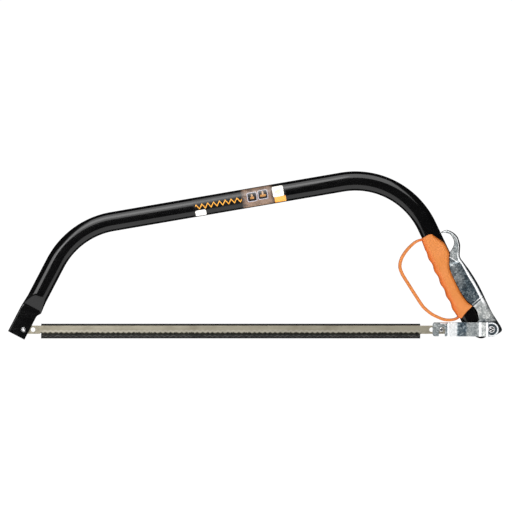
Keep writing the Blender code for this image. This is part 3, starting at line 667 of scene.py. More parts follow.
def link_zinc():
    def ear(m):
        """Distance from the middle of the rear eye."""
        reach = m.node("ShaderNodeCombineXYZ", {"X": m.along(ALONG, CRANK_PIN),
                                                "Y": m.along(UP, CRANK_PIN)}).outputs["Vector"]
        return m.vector("LENGTH", reach, out="Value")

    # painted reflection: lighter zinc just ahead of the flare, on the flare, along the middle towards the
    # step and on the step
    def painted_reflection(m):
        x = m.along(ALONG)
        front = m.remap(x, FLARE_START - 4, FLARE_START - 1, 0.45, 0.0)
        flare = m.times(m.fade(x, FLARE_START - 1, FLARE_START + 1, 0.66),
                        m.remap(x, FLARE_END - 1.5, FLARE_END + 0.5, 1.0, 0.0))
        middle = m.times(m.remap(x, FLARE_END + 12, FLARE_END + 16, 0.12, 0.72),
                         m.remap(x, STEP_START - 3, STEP_START - 2, 1.0, 0.0))
        step = m.times(m.fade(x, STEP_START - 3, STEP_START - 2),
                       m.remap(x, STEP_END - 0.5, STEP_END + 0.5, 1.0, 0.0))
        return m.add(flare, middle, step, front)

    # painted highlight: lines on the flare and step bends, a ring round the rear eye and the front edges
    # seen edge on
    def painted_highlight(m):
        x = m.along(ALONG)
        rim = m.times(m.line(ear(m), LINK_EAR_R - 1.2, 0.9), m.fade(x, STEP_END, STEP_END + 2, 0.8))
        edge = m.times(m.fade(m.lean(), 0.2, 0.5, 0.6), m.remap(x, STEP_START - 6, STEP_START, 1.0, 0.0))
        return m.add(m.line(x, FLARE_START - 0.2, 0.8), m.line(x, STEP_START - 1.2, 1.7, 0.5), rim, edge,
                     m.line(x, STEP_END - 1.2, 1.4, 0.4), clamp=True)

    # painted shade: the face of the rear eye behind the step and a dark line just before the step ends
    def painted_shade(m):
        x = m.along(ALONG)
        face = m.times(m.fade(x, STEP_END, STEP_END + 1.0, 0.55), m.fade(ear(m), 8.6, 7.6))
        return m.add(face, m.times(m.line(x, STEP_END - 3.0, 0.35), 0.5), clamp=True)

    return spangled_zinc("spangled_link_zinc", 420.0, 1.0, painted_reflection, painted_highlight, painted_shade)


def scallops(m, scale, wander, depth):
    """Uneven arcs along the blade, in millimetres."""
    run = m.add(m.along(ALONG), m.times(m.noise(scale), wander))
    return m.times(m.math("PINGPONG", run, 3.8), depth)


def blade_steel():
    m = Shade("lacquered_blade_steel", (0.30, 0.27, 0.20), 0.34, 0.75, Coat_Weight=0.25,
              Coat_Roughness=0.22)
    rolled = m.noise(1.0, 8.0, 0.7, m.stretched(18.0, 600.0, 600.0))
    ground = m.noise(1.0, 6.0, 0.65, m.stretched(700.0, 60.0, 60.0))
    tan = m.ramp(rolled, (0.25, (0.32, 0.29, 0.215)), (0.5, (0.42, 0.385, 0.295)),
                 (0.8, (0.51, 0.475, 0.375)))
    stained = m.mix(m.fade(m.noise(30.0, 6.0, 0.6), 0.45, 0.75, 0.5), tan, (0.20, 0.17, 0.12))
    height = m.minus(m.along(UP), scallops(m, 60.0, 5.0, 0.42))
    toothed = m.line(m.along(ALONG), (GUARD_START + GUARD_END) / 2, (GUARD_END - GUARD_START) / 2, 3.0)
    hard = m.times(m.remap(height, -TOOTH_ROOT - 0.2, -TOOTH_ROOT + 0.8, 1.0, 0.0), toothed)
    wear_and_glint = m.times(m.line(height, -TOOTH_ROOT + 2.3, 1.2, 0.7), toothed)
    stained = m.mix(m.times(wear_and_glint, 0.5), stained, (0.62, 0.58, 0.50))
    m.set("Base Color", m.mix(hard, stained, (0.030, 0.028, 0.022)))
    m.set("Roughness", m.remap(ground, 0.3, 0.7, 0.26, 0.46))
    lines = m.bump(ground, 0.00002, 0.45)
    m.bump(rolled, 0.000015, 0.4, lines)
    return m.material


def bright_steel():
    m = Shade("bright_plated_steel", (0.78, 0.78, 0.79), 0.2, 1.0)
    smear = m.noise(420.0, 5.0, 0.65)
    m.set("Base Color", m.ramp(smear, (0.3, (0.62, 0.62, 0.63)), (0.7, (0.86, 0.86, 0.87))))
    m.set("Roughness", m.remap(m.noise(900.0, 4.0), 0.3, 0.7, 0.14, 0.34))
    m.bump(m.noise(1600.0, 3.0), 0.000012, 0.5)
    return m.material


def rivet_zinc():
    m = Shade("staked_rivet_steel", (0.6, 0.6, 0.61), 0.3, 1.0)
    smear = m.noise(500.0, 5.0, 0.7)
    zinc = m.ramp(smear, (0.3, (0.74, 0.74, 0.75)), (0.7, (0.96, 0.96, 0.96)))
    across = m.math("ABSOLUTE", m.node("ShaderNodeSeparateXYZ", {"Vector": m.place}).outputs["Y"])
    head = (EAR_OUT + GAP / 2 + LINK_HEAD) * MM
    # painted shade: the side of the staked head, from the ear up to just under its top, is near black and
    # less metallic
    head_side_shade = m.times(m.remap(across, head - 0.28 * MM, head - 0.12 * MM, 1.0, 0.0),
                   m.fade(across, EAR_OUT * MM, (EAR_OUT + 0.1) * MM, 0.93))
    m.set("Base Color", m.mix(head_side_shade, zinc, (0.018, 0.018, 0.018)))
    m.set("Metallic", m.remap(head_side_shade, 0.0, 1.0, 0.25, 0.8))
    m.set("Roughness", m.remap(m.noise(700.0, 4.0), 0.3, 0.7, 0.22, 0.45))
    m.bump(m.noise(1100.0, 4.0), 0.00003, 0.5)
    return m.material


def guard_plastic():
    m = Shade("black_guard_plastic", (0.02, 0.02, 0.02), 0.5, 0.0, Specular_IOR_Level=0.22)
    mottle = m.noise(150.0, 6.0, 0.7, m.stretched(0.35, 1.0, 1.0))
    black = m.ramp(mottle, (0.35, (0.003, 0.003, 0.003)), (0.6, (0.010, 0.0095, 0.009)),
                   (0.8, (0.026, 0.024, 0.022)))
    arcs = m.line(m.add(m.along(UP), scallops(m, 70.0, 6.0, 0.5)), -GUARD_LIP - 1.2, 0.45)
    arcs = m.times(arcs, m.remap(m.noise(260.0, 3.0), 0.35, 0.6, 0.15, 0.9))
    m.set("Base Color", m.mix(arcs, black, (0.085, 0.080, 0.074)))
    m.set("Roughness", m.remap(m.noise(320.0, 5.0), 0.3, 0.7, 0.35, 0.62))
    coarse = m.bump(mottle, 0.00025, 0.45)
    m.bump(m.noise(1500.0, 3.0), 0.00004, 0.5, coarse)
    return m.material


LABEL_LONG = (LABEL_END - LABEL_START) / TOP_DIR.x


def label_print(height):
    """Printed film: black ground, a saw-tooth band, bronze field, two pictogram tiles and a colour tab."""
    m = Shade("printed_label", (0.003, 0.003, 0.003), 0.12, 0.0)
    uv = m.node("ShaderNodeSeparateXYZ", {"Vector": m.node("ShaderNodeUVMap").outputs["UV"]})
    x = m.times(uv.outputs["X"], LABEL_LONG)
    y = m.times(uv.outputs["Y"], height)

    def tile(cx, cy, half_x, half_y, corner, softness=0.25):
        """1 inside a rounded box on the label, millimetres."""
        dx, dy = (m.math("MAXIMUM", m.minus(m.math("ABSOLUTE", m.minus(value, centre)), half), 0.0)
                  for value, centre, half in ((x, cx, half_x - corner), (y, cy, half_y - corner)))
        far = m.math("SQRT", m.add(m.times(dx, dx), m.times(dy, dy)))
        return m.remap(far, corner - softness, corner + softness, 1.0, 0.0)

    mid = height / 2
    grain = m.noise(220.0, 5.0, 0.6)
    ground = m.ramp(grain, (0.3, (0.0015, 0.0015, 0.0016)), (0.7, (0.004, 0.004, 0.004)))
    field = m.ramp(m.noise(60.0, 6.0, 0.7, m.stretched(1.0, 1.0, 2.4, 0.5)),
                   (0.3, (0.05, 0.035, 0.03)), (0.5, (0.30, 0.19, 0.13)), (0.72, (0.16, 0.14, 0.15)))
    art = m.mix(m.times(tile(94.5, mid, 21.0, mid + 4.0, 3.0, 3.0), 0.8), ground, field)
    tooth = m.math("PINGPONG", x, 4.3)
    above = m.minus(y, m.add(m.times(tooth, 1.45), mid - 3.4))
    band = m.math("LESS_THAN", m.math("ABSOLUTE", above), 1.15)
    band = m.times(band, tile(37.0, mid, 34.0, 7.0, 0.5))
    art = m.mix(band, art, (0.80, 0.36, 0.045))
    for centre, lift, mark in ((86.5, 0.8, 0.9), (102.5, 1.6, 1.3)):
        art = m.mix(tile(centre, mid + lift, 7.2, 6.8, 2.2), art, (0.50, 0.49, 0.56))
        art = m.mix(tile(centre, mid + lift, 6.4, 6.0, 1.8), art, (0.016, 0.014, 0.015))
        art = m.mix(tile(centre, mid + lift - 1.4, 3.2 * mark, 1.6, 1.0), art, (0.42, 0.20, 0.06))
        art = m.mix(tile(centre, mid + lift + 2.2, 1.2, 2.0 * mark, 0.8), art, (0.46, 0.30, 0.18))
    art = m.mix(tile(9.5, 4.2, 7.8, 4.6, 2.2), art, (0.88, 0.86, 0.82))
    specks = m.math("GREATER_THAN", m.noise(420.0, 2.0), 0.5)
    art = m.mix(m.times(tile(9.5, 5.0, 5.6, 2.2, 0.6), specks), art, (0.66, 0.58, 0.50))
    art = m.mix(tile(124.9, mid + 2.6, 8.0, 7.9, 2.2), art, (0.84, 0.80, 0.72))
    swirl = m.times(tile(124.9, mid + 3.0, 4.6, 4.6, 4.4, 0.8),
                    m.remap(m.noise(330.0, 3.0), 0.4, 0.6, 0.15, 1.0))
    art = m.mix(swirl, art, (0.62, 0.52, 0.38))
    art = m.mix(tile(126.6, mid - 9.6, 8.2, 4.4, 0.8), art, (0.88, 0.36, 0.06))
    m.set("Base Color", art)
    m.set("Roughness", m.remap(grain, 0.3, 0.7, 0.16, 0.30))
    m.bump(m.noise(900.0, 3.0), 0.00001, 0.4)
    return m.material


# ---------------------------------------------------------------- bow tube
def bow_line():
    """Stations of the tube centreline: (point, direction, distance from the foot end)."""
    start = -FRONT_OFFSET * inward(FRONT_DIR) - FOOT_BELOW * FRONT_DIR
    leg = PIVOT - PIVOT_BEHIND * LEG_BACK
    front_corner = crossing(start, FRONT_DIR, TOP_MID, TOP_DIR)
    rear_corner = crossing(TOP_MID, TOP_DIR, leg, REAR_DIR)
    stations = []

    def bend(corner, a, b, steps):
        turn = a.angle(b)
        reach = BEND_R * math.tan(turn / 2)
        centre = corner - reach * a + BEND_R * inward(a)
        first = math.degrees(math.atan2(-inward(a).y, -inward(a).x))
        for k in range(steps + 1):
            spoke = heading(first - math.degrees(turn) * k / steps)
            stations.append((centre + BEND_R * spoke, inward(spoke)))

    flat_steps, blend_steps = 14, 46
    blend_from, blend_to = FOOT_FLAT - 12.0, FOOT_FLAT + FOOT_BLEND + 4.0
    for k in range(flat_steps):
        stations.append((start + blend_from * k / flat_steps * FRONT_DIR, FRONT_DIR))
    for k in range(blend_steps):
        along = blend_from + (blend_to - blend_from) * k / (blend_steps - 1)
        stations.append((start + along * FRONT_DIR, FRONT_DIR))
    bend(front_corner, FRONT_DIR, TOP_DIR, 44)
    bend(rear_corner, TOP_DIR, REAR_DIR, 56)
    for up in (60.0, 30.0, 0.0, -30.0):
        stations.append((leg + up * LEG_UP, REAR_DIR))
    return start, stations


def crushed(along):
    """1 on the pressed foot of the tube, falling to 0 where it is whole."""
    t = min(max((along - FOOT_FLAT) / FOOT_BLEND, 0.0), 1.0)
    return 1.0 - t * t * (3 - 2 * t)


def oval(half_depth, half_width, flat, angle):
    """Point (depth, across) of the tube's section: an ellipse blended with a round-ended slot."""
    c = math.cos(angle)
    side = math.copysign(half_depth - half_width, c) if abs(c) > 1e-6 else 0.0
    return Vector(((1 - flat) * half_depth * c + flat * (side + half_width * c),
                   half_width * math.sin(angle)))


def tube_rings(grow, count=72):
    start, stations = bow_line()
    slot_half = BLADE_THICK / 2 + GAP + TUBE_WALL
    rings = []
    for point, direction in stations:
        along = (point - start).dot(FRONT_DIR) if (point - start).length < 120 else 120.0
        near = crushed(along)
        half_depth = TUBE_DEPTH / 2 + near * (FOOT_HALF - TUBE_DEPTH / 2) + grow
        ring = []
        for k in range(count):
            angle = 2 * math.pi * (k + 0.5) / count
            middle = 1 - abs(math.cos(angle)) ** 2.2
            pressed = crushed(along - 9.0 * (middle - 0.35))
            half_width = TUBE_WIDTH / 2 + pressed * (slot_half - TUBE_WIDTH / 2) + grow
            depth, across = oval(half_depth, half_width, TUBE_FLAT + near * (1 - TUBE_FLAT), angle)
            p = point + depth * inward(direction)
            ring.append(at(p.x, across, p.y))
        rings.append(ring)
    return rings


def make_tube(material):
    tube = skin("bow_tube", tube_rings(-0.1) + tube_rings(-TUBE_WALL)[::-1], closed=True)
    start = bow_line()[0]
    into = inward(FRONT_DIR)
    notch = [(-30, FOOT_TRIM), (FOOT_FLAT - 1, FOOT_TRIM), (FOOT_FLAT + 1.5, FOOT_TRIM + 0.6),
             (FOOT_FLAT + 12, FOOT_HALF + 3.5), (-30, 60)]
    trim = slab("trim", [start + a * FRONT_DIR + b * into for a, b in notch], -20, 20)
    low = arc(PIVOT, TAIL_R, -190, 15, 40)
    far = 80.0
    tail = low + [(PIVOT.x + far, low[-1].y), (PIVOT.x + far, PIVOT.y - far),
                  (PIVOT.x - far, PIVOT.y - far), (PIVOT.x - far, low[0].y)]
    combine(tube, [trim, rod((0, 0), BLADE_PIN_R + PIN_GAP, -20, 20),
                   slab("tail", tail, -20, 20), rod(PIVOT, PIVOT_R + PIN_GAP, -20, 20)])
    return finish_piece(tube, material, "frame", ["frame_tube"], 42, flat_sides=False)


def make_label():
    """Film hugging the near face of the top run."""
    count, runs, spread, film = 33, 24, 62.0, 0.12
    outside = GAP / 2 + film
    section = [oval(TUBE_DEPTH / 2 + outside, TUBE_WIDTH / 2 + outside, TUBE_FLAT,
                    math.radians(-90 + spread * (2 * k / (count - 1) - 1))) for k in range(count)]
    steps = [(b - a).length for a, b in zip(section, section[1:])]
    height = sum(steps)
    verts, uvs = [], []
    for i in range(runs + 1):
        run = LABEL_LONG * (i / runs) - (TOP_MID.x - LABEL_START) / TOP_DIR.x
        for k, (depth, across) in enumerate(section):
            p = TOP_MID + run * TOP_DIR + depth * inward(TOP_DIR)
            verts.append(at(p.x, across, p.y))
            uvs.append((i / runs, 1 - sum(steps[:k]) / height))
    faces = [(i * count + k, i * count + k + 1, (i + 1) * count + k + 1, (i + 1) * count + k)
             for i in range(runs) for k in range(count - 1)]
    label = piece("label_film", verts, faces)
    layer = label.data.uv_layers.new(name="UVMap")
    for loop in label.data.loops:
        layer.data[loop.index].uv = uvs[loop.vertex_index]
    if label.data.polygons[0].normal.y > 0:
        label.data.flip_normals()
    thick = label.modifiers.new("film", "SOLIDIFY")
    thick.thickness = film * MM
    thick.offset = -1
    settle(label)
    return finish_piece(label, label_print(height), "frame", ["frame_label"], 35, False)


# ---------------------------------------------------------------- grip
def strap_line():
    """Middle of the knuckle strap: (up the leg, behind the pivot line)."""
    reach, top, low = STRAP_REACH, STRAP_TOP, STRAP_LOW
    return [(top - 1.5, -14.0), (top, -22.0), (top + 0.6, -31.0), (top - 3, -43.5),
            (top - 8, -53.5), (top - 14, -61.3), (top - 22, -reach + 1.5), (top - 31, -reach),
            (top - 40, -reach + 0.5), (top - 49, -reach + 1.6), (90.0, -reach + 3.6),
            (70.0, -reach + 6.3), (low + 31, -reach + 9), (low + 21, -reach + 14),
            (low + 13, -48.0), (low + 6.8, -42.0), (low + 2.6, -35.0), (low + 0.2, -26.5),
            (low + 1.4, -19.0)]


def make_grip(material):
    f, g = LEVER_FRONT, GAP
    back = through([(GRIP_TOP - 1.4, -5.4), (LOOP_LOW + 26, 0.3), (LOOP_LOW + 16.5, 5.6),
                    (LOOP_LOW + 8, 6.3), (LOOP_LOW, 6.0), (LOOP_LOW - 8.6, 1.9),
                    (103.6, -f + 1.5), (94.0, -f - g), (65.0, -f - g), (47.4, -f + 2.2),
                    (37.0, 3.2)], 6)
    low, high = GRIP_LOW + 8, STRAP_TOP - 16
    count = 84
    nose = [Vector((GRIP_LOW, -20.4))]
    for k in range(count + 1):
        u = low + (high - low) * k / count
        nose.append(Vector((u, -GRIP_FRONT + FINGER_WAVE
                            * math.cos(2 * math.pi * (u - low) / FINGER_PITCH))))
    nose += [Vector((STRAP_TOP - 8, -GRIP_FRONT + 1)), Vector((STRAP_TOP - 3, -GRIP_FRONT + 1.6))]
    top = filleted([nose[-2], nose[-1], (GRIP_TOP - 0.9, -GRIP_FRONT + 4), (GRIP_TOP - 0.2, -9.0),
                    back[0], back[1]], 1.6, 5)[1:-1]
    foot = filleted([back[-2], back[-1], (GRIP_LOW + 6, -8), nose[0], nose[1]], 2.5, 5)[1:-1]
    parts = ((top, GRIP_LIP), (back[1:-1], GRIP_HEEL), (foot, GRIP_LIP), (nose[1:-2], GRIP_NOSE))
    outline, radii = [], []
    for i, (part, radius) in enumerate(parts):
        run = spaced(part + [parts[(i + 1) % 4][0][0]], 1.4)
        outline += run
        radii += [radius] * len(run)
    grip = pillow("hand_grip_moulding", [on_leg(*p) for p in outline], GRIP_WIDTH / 2,
                  roomy([on_leg(*p) for p in outline], blurred(radii, 12)), 9)
    line = through(strap_line(), 7)
    rings = []
    for i, p in enumerate(line):
        from_end = min(i, len(line) - 1 - i) / len(line)
        half = 0.5 * STRAP_THICK * (0.72 + 0.28 * min(1, 6 * from_end))
        side = inward((line[min(i + 1, len(line) - 1)] - line[max(i - 1, 0)]).normalized())
        ring = []
        for off in rounded(half, STRAP_WIDTH / 2, 1.4, 5):
            place = on_leg(*(p + off.x * side))
            ring.append(at(place.x, off.y, place.y))
        rings.append(ring)
    strap = skin("strap", rings)
    combine(grip, [strap], "UNION")
    leg = PIVOT - PIVOT_BEHIND * LEG_BACK
    bore = [oval(TUBE_DEPTH / 2 + GAP, TUBE_WIDTH / 2 + GAP, TUBE_FLAT, 2 * math.pi * (k + 0.5) / 64)
            for k in range(64)]

    def along_leg(depth, across, run):
        p = leg + run * LEG_UP - depth * LEG_BACK
        return at(p.x, across, p.y)

    combine(grip, [slab("bore", bore, 5, 185, along_leg)])
    return finish_piece(grip, material, "frame", ["hand_grip"], 38)


# ---------------------------------------------------------------- lever
CHEEK_IN = TUBE_WIDTH / 2 + GAP
CHEEK_OUT = CHEEK_IN + SHEET
CHEEK_FLAT = CHEEK_OUT + GAP / 2 + PIVOT_HEAD + GAP
EAR_IN = CHEEK_FLAT + EAR_FLARE
EAR_OUT = EAR_IN + LINK_SHEET


def lever_back_line():
    loop_mid = (LOOP_LOW + LEVER_TIP) / 2
    neck = LOOP_LOW - 14
    return [(-16.0, 17.0), (-12.8, LEVER_HEEL), (3.0, LEVER_HEEL - 0.6), (19.0, LEVER_BACK),
            (52.0, LEVER_BACK), (69.0, LEVER_BACK - 1), (86.0, LEVER_BACK - 3.2),
            (neck - 6, LEVER_WAIST + 1), (neck, LEVER_WAIST), (neck + 5, LEVER_WAIST + 1),
            (neck + 17, LEVER_HEEL - 2.2), (loop_mid - 4, LEVER_HEEL - 0.4),
            (loop_mid, LEVER_HEEL - 0.4), (loop_mid + 6, LEVER_HEEL - 2.2),
            (loop_mid + 11, LEVER_HEEL - 5.5), (LEVER_TIP - 1, LEVER_HEEL - 9.5),
            (LEVER_TIP, LEVER_WAIST - 4), (LEVER_TIP, LEVER_WAIST - 9)]


def lever_front_line():
    band = LEVER_HEEL - LOOP_BAND
    mid = (LOOP_LOW + LEVER_TIP) / 2
    f = LEVER_FRONT
    gap_side = [(LEVER_TIP - 1.2, LEVER_WAIST - 9), (LEVER_TIP - 3.4, 13.6), (mid + 8, band - 2.4),
                (mid + 2.6, band - 0.8), (mid - 3.6, band - 1), (mid - 8.4, band - 3.3),
                (mid - 12.4, 14.0), (LOOP_LOW, 8.0)]
    grip_side = [(LOOP_LOW - 4, 5.2), (LOOP_LOW - 8, 2.6), (104.0, -f + 2.2), (94.0, -f),
                 (65.0, -f + 0.2), (48.0, -f + 2.9), (37.0, 4.2), (27.0, 6.2), (15.0, 3.6)]
    eye = arc((0, 0), CHEEK_R, -45, -189, 16)
    return through(gap_side, 6) + through(grip_side, 6) + eye


def bend_radius(up):
    """Outer radius where a cheek turns into the back of the lever."""
    stops = [(-16, 2.0), (-9, 5.5), (20, 6.5), (45, 8.2), (80, 8.2), (100, 5.0), (118, 4.6),
             (140, 4.6), (148, 3.6), (153, 2.4)]
    for (a, low), (b, high) in zip(stops, stops[1:]):
        if up <= b:
            return low + (high - low) * max(up - a, 0) / (b - a)
    return stops[-1][1]


def ease(value, start, end):
    """Smooth step from 0 at the start to 1 at the end."""
    t = min(max((value - start) / (end - start), 0.0), 1.0)
    return t * t * (3 - 2 * t)


def cheek_half(up):
    """Half width over the cheeks: pressed out beside the grip, narrower around the loop."""
    swell = CHEEK_SWELL * ease(up, 34, 40) * (1 - ease(up, 102, 107))
    return CHEEK_OUT + swell - LOOP_TAPER * ease(up, 108, 158) ** 0.8


def make_lever(material):
    back = through(lever_back_line(), 7)
    front = lever_front_line()
    body = back + front
    radii = [bend_radius(p.x) for p in back] + [EDGE_BREAK] * len(front)
    radii = blurred(radii, 3)
    lever = pillow("tension_lever_channel", [on_leg(*p) for p in body], CHEEK_OUT, radii, 10)
    inside = beside(back, SHEET)
    inside[0] = inside[0] + Vector((-8.0, -8.0))
    inside[-1] = inside[-1] + Vector((0.0, -8.0))
    rim = [Vector((LEVER_TIP - SHEET, -60)), Vector((-40, -60))]
    inner_radii = [max(bend_radius(p.x) - SHEET, 0.5) for p in back] + [0.5, 0.5]
    hollow = pillow("hollow", [on_leg(*p) for p in inside + rim], CHEEK_IN, inner_radii, 8)
    combine(lever, [hollow, rod(PIVOT, PIVOT_R + PIN_GAP, -20, 20),
                    rod(CRANK_PIN, LINK_PIN_R + PIN_GAP, -20, 20)])
    work = bmesh.new()
    work.from_mesh(lever.data)
    normal = Vector((LEG_UP.x, 0, LEG_UP.y))
    for up in [12 + 1.2 * k for k in range(118)]:
        p = on_leg(up, 0)
        bmesh.ops.bisect_plane(work, geom=work.verts[:] + work.edges[:] + work.faces[:],
                               dist=1e-6, plane_co=at(p.x, 0, p.y), plane_no=normal)
    base = at(PIVOT.x, 0, PIVOT.y)
    for v in work.verts:
        up = (v.co - base).dot(normal) / MM
        v.co.y *= cheek_half(up) / CHEEK_OUT
    work.to_mesh(lever.data)
    work.free()
    return finish_piece(lever, material, "lever", ["tension_lever"], 38)


def make_pivot_rivet(material):
    flat = CHEEK_OUT + GAP / 2
    top = flat + PIVOT_HEAD
    r, h = PIVOT_R, PIVOT_HEAD_R
    half = [(0, top), (1.2, top), (h - 1.0, top - 0.12), (h - 0.4, top - 0.28), (h - 0.1, top - 0.45),
            (h, flat + 0.05), (h - 0.05, flat), (r, flat)]
    rivet = lathe("fulcrum_rivet_steel", half + [(a, -b) for a, b in half[::-1]], PIVOT)
    return finish_piece(rivet, material, "frame", ["fulcrum_rivet"], 40, False)


def make_link_rivet(name, side, material, node):
    """Shouldered stud whose outer end is staked into three lobes."""
    inner = CHEEK_IN + 0.1
    head = EAR_OUT + GAP / 2
    top = head + LINK_HEAD
    r, h, s = LINK_PIN_R, LINK_HEAD_R, SHOULDER_R
    profile = [(0, top - 0.42), (3.7, top - 0.38), (3.95, top - 0.1), (4.15, top - 0.02),
               (4.4, top - 0.1), (h - 0.05, top - 0.3), (h, head + 0.05), (h - 0.05, head),
               (r, head), (r, EAR_IN - GAP / 2), (s, EAR_IN - GAP / 2), (s, CHEEK_OUT + GAP / 2),
               (r, CHEEK_OUT + GAP / 2), (r, inner + 0.2), (r - 0.2, inner), (0, inner)]
    if side < 0:
        profile = [(a, -b) for a, b in profile[::-1]]
    rivet = lathe(name, profile, CRANK_PIN, 72)
    for k in range(3):
        d = heading(120 * k)
        n = Vector((-d.y, d.x))
        rings = []
        for level, scale in ((-0.6, 1.0), (-0.3, 0.98), (-0.12, 0.85), (-0.03, 0.6), (0.0, 0.3)):
            ring = []
            for j in range(28):
                a = 2 * math.pi * j / 28
                reach = 2.05 + 1.35 * scale * math.cos(a)
                wide = (0.75 + 0.4 * math.cos(a)) * 1.25 * scale * math.sin(a)
                q = CRANK_PIN + reach * d + wide * n
                ring.append(at(q.x, side * (top + level), q.y))
            rings.append(ring)
        combine(rivet, [skin("lobe", rings)], "UNION")
    return finish_piece(rivet, material, "lever", [node], 40)


# ---------------------------------------------------------------- link
def make_link(material):
    slim = BLADE_THICK / 2 + GAP
    rear = CRANK_PIN.x + LINK_EAR_R + 2
    inner = filleted([(LINK_FRONT - 2, slim), (FLARE_START, slim), (FLARE_END, CHEEK_FLAT),
                      (STEP_START, CHEEK_FLAT), (STEP_END, EAR_IN), (rear, EAR_IN)], 8.0, 12)
    outer = beside(inner, -LINK_SHEET)
    low, high = -LINK_DROP - 4, LINK_TOP + 4
    near = slab("link_strap", [(p.x, -p.y) for p in inner + outer[::-1]], low, high, at)
    far = slab("far", inner + outer[::-1], low, high, at)
    half = slim + LINK_SHEET
    crown = arc((0, LINK_TOP - half), half, 0, 180, 24)
    under = arc((0, LINK_TOP - half), slim, 180, 0, 10)
    hoop = crown + [(-half, -2.0), (-slim, -2.0)] + under + [(slim, -2.0), (half, -2.0)]
    hoop = [(p[0] * 0.985, p[1]) for p in hoop]
    fold = slab("fold", hoop, FOLD_START, FLARE_START + 1.5, lambda y, z, x: at(x, y, z))
    combine(near, [far], "UNION")
    top, bottom = LINK_TOP, -LINK_DROP
    side = filleted([(LINK_FRONT + 9, bottom), (LINK_FRONT, bottom), (LINK_FRONT, top),
                     (CRANK_PIN.x - 6, top)], 3.4)
    side += arc(CRANK_PIN, LINK_EAR_R, 85, -85, 28) + [Vector((CRANK_PIN.x - 6, bottom))]
    combine(near, [slab("side", side, -40, 40)], "INTERSECT")
    lid_start, lid_end, lid_low = FOLD_START - 0.5, FLARE_START + 1.5, top - half + 0.4
    lid = [(lid_start, lid_low), (lid_end, lid_low), (lid_end, top + 3), (lid_start, top + 3)]
    combine(near, [slab("lid", lid, -half - 0.5, half + 0.5)])
    combine(near, [fold], "UNION")
    r = BLADE_PIN_R + PIN_GAP
    x0, x1 = PIN_SPAN - r - 0.1, PIN_SPAN + r + HOOK_SLACK
    round_r = r + 0.3
    slot = arc((x1 - round_r, 0.3), round_r, 0, 90, 10) + arc((x0 + round_r, 0.3), round_r, 90, 180, 10)
    slot += [(x0, bottom - 5), (x1, bottom - 5)]
    combine(near, [slab("hook", slot, -10, 10), rod(CRANK_PIN, LINK_PIN_R + PIN_GAP, -30, 30)])
    bevel(near, EDGE_BREAK, 3, 55)
    return finish_piece(near, material, "link", ["blade_link"], 38)


# ---------------------------------------------------------------- blade, pins and guard
def tooth_line():
    """(x, z, set) along the cutting edge: groups of four peg teeth and a raker between deep gullets."""
    line = []
    x = TEETH_START
    index = 0
    while x + TOOTH_PITCH <= TEETH_END:
        raker = index % 5 == 4
        ground = 0.05 * math.sin(1.7 * index)
        root = TOOTH_ROOT + 0.8 + ground
        if index % 5 in (0, 4):
            root -= GULLET_DEPTH
        tip = TOOTH_TIP - (0.4 if raker else 0.0)
        lean = 0.0 if raker else TOOTH_SET * (1 if index % 2 else -1)
        line += [(x - 0.5, -root - 0.25, 0.0), (x, -root, 0.0), (x + 0.5, -root - 0.25, 0.0)]
        crown = ((0.34, 0.0), (0.44, 1.3), (0.56, 1.3), (0.66, 0.0)) if raker else ((0.48, 0.0), (0.52, 0.0))
        line += [(x + part * TOOTH_PITCH, notch - tip, lean) for part, notch in crown]
        x += TOOTH_PITCH
        index += 1
    line.append((x, -TOOTH_ROOT - 0.8, 0.0))
    return line


def make_blade(material):
    front, rear = -TANG_END, PIN_SPAN + TANG_END
    edge = tooth_line()
    tang = -TANG_DROP
    outline = [(front, tang + 3, 0), (front + 0.9, tang + 0.9, 0), (front + 3, tang, 0),
               (edge[0][0] - 3, tang, 0)]
    outline += edge
    outline += [(edge[-1][0] + 3, tang, 0), (rear - 3, tang, 0), (rear - 0.9, tang + 0.9, 0),
                (rear, tang + 3, 0), (rear, BLADE_BACK - 3, 0), (rear - 0.9, BLADE_BACK - 0.9, 0),
                (rear - 3, BLADE_BACK, 0), (front + 3, BLADE_BACK, 0),
                (front + 0.9, BLADE_BACK - 0.9, 0), (front, BLADE_BACK - 3, 0)]
    blade = slab("saw_blade_steel", [(p[0], p[1]) for p in outline], -BLADE_THICK / 2, BLADE_THICK / 2)
    holes = [rod((x, 0), BLADE_PIN_R + PIN_GAP, -5, 5)
             for x in (0, SPARE_HOLE, PIN_SPAN - SPARE_HOLE, PIN_SPAN)]
    combine(blade, holes)
    bevel(blade, 0.13, 1, 50)
    set_at = {}
    for x, z, lean in edge:
        if lean:
            set_at.setdefault(round((DATUM.x + x * MM) * 2000), lean)
    tip_z = DATUM.z - (TOOTH_TIP - 0.6) * MM
    for v in blade.data.vertices:
        if v.co.z < tip_z:
            key = round(v.co.x * 2000)
            for near in (key, key - 1, key + 1):
                if near in set_at:
                    v.co.y += set_at[near] * MM
                    break
    return finish_piece(blade, material, "blade", ["saw_blade"], 30)


def make_front_pin(material):
    """Coiled spring pin."""
    half = BLADE_THICK / 2 + GAP + TUBE_WALL + 1.1
    wall, turns, steps = 0.72, 2.2, 120
    outer, inner = [], []
    for k in range(steps + 1):
        t = k / steps
        radius = BLADE_PIN_R - (wall + 0.06) * max(turns * t - 1, 0) - 0.04 * min(turns * t, 1)
        spoke = heading(70 - 360 * turns * t)
        outer.append(radius * spoke)
        inner.append((radius - wall) * spoke)
    pin = slab("coiled_pin", outer + inner[::-1], -half, half)
    bevel(pin, 0.16, 2, 60)
    return finish_piece(pin, material, "frame", ["front_blade_pin"], 40)


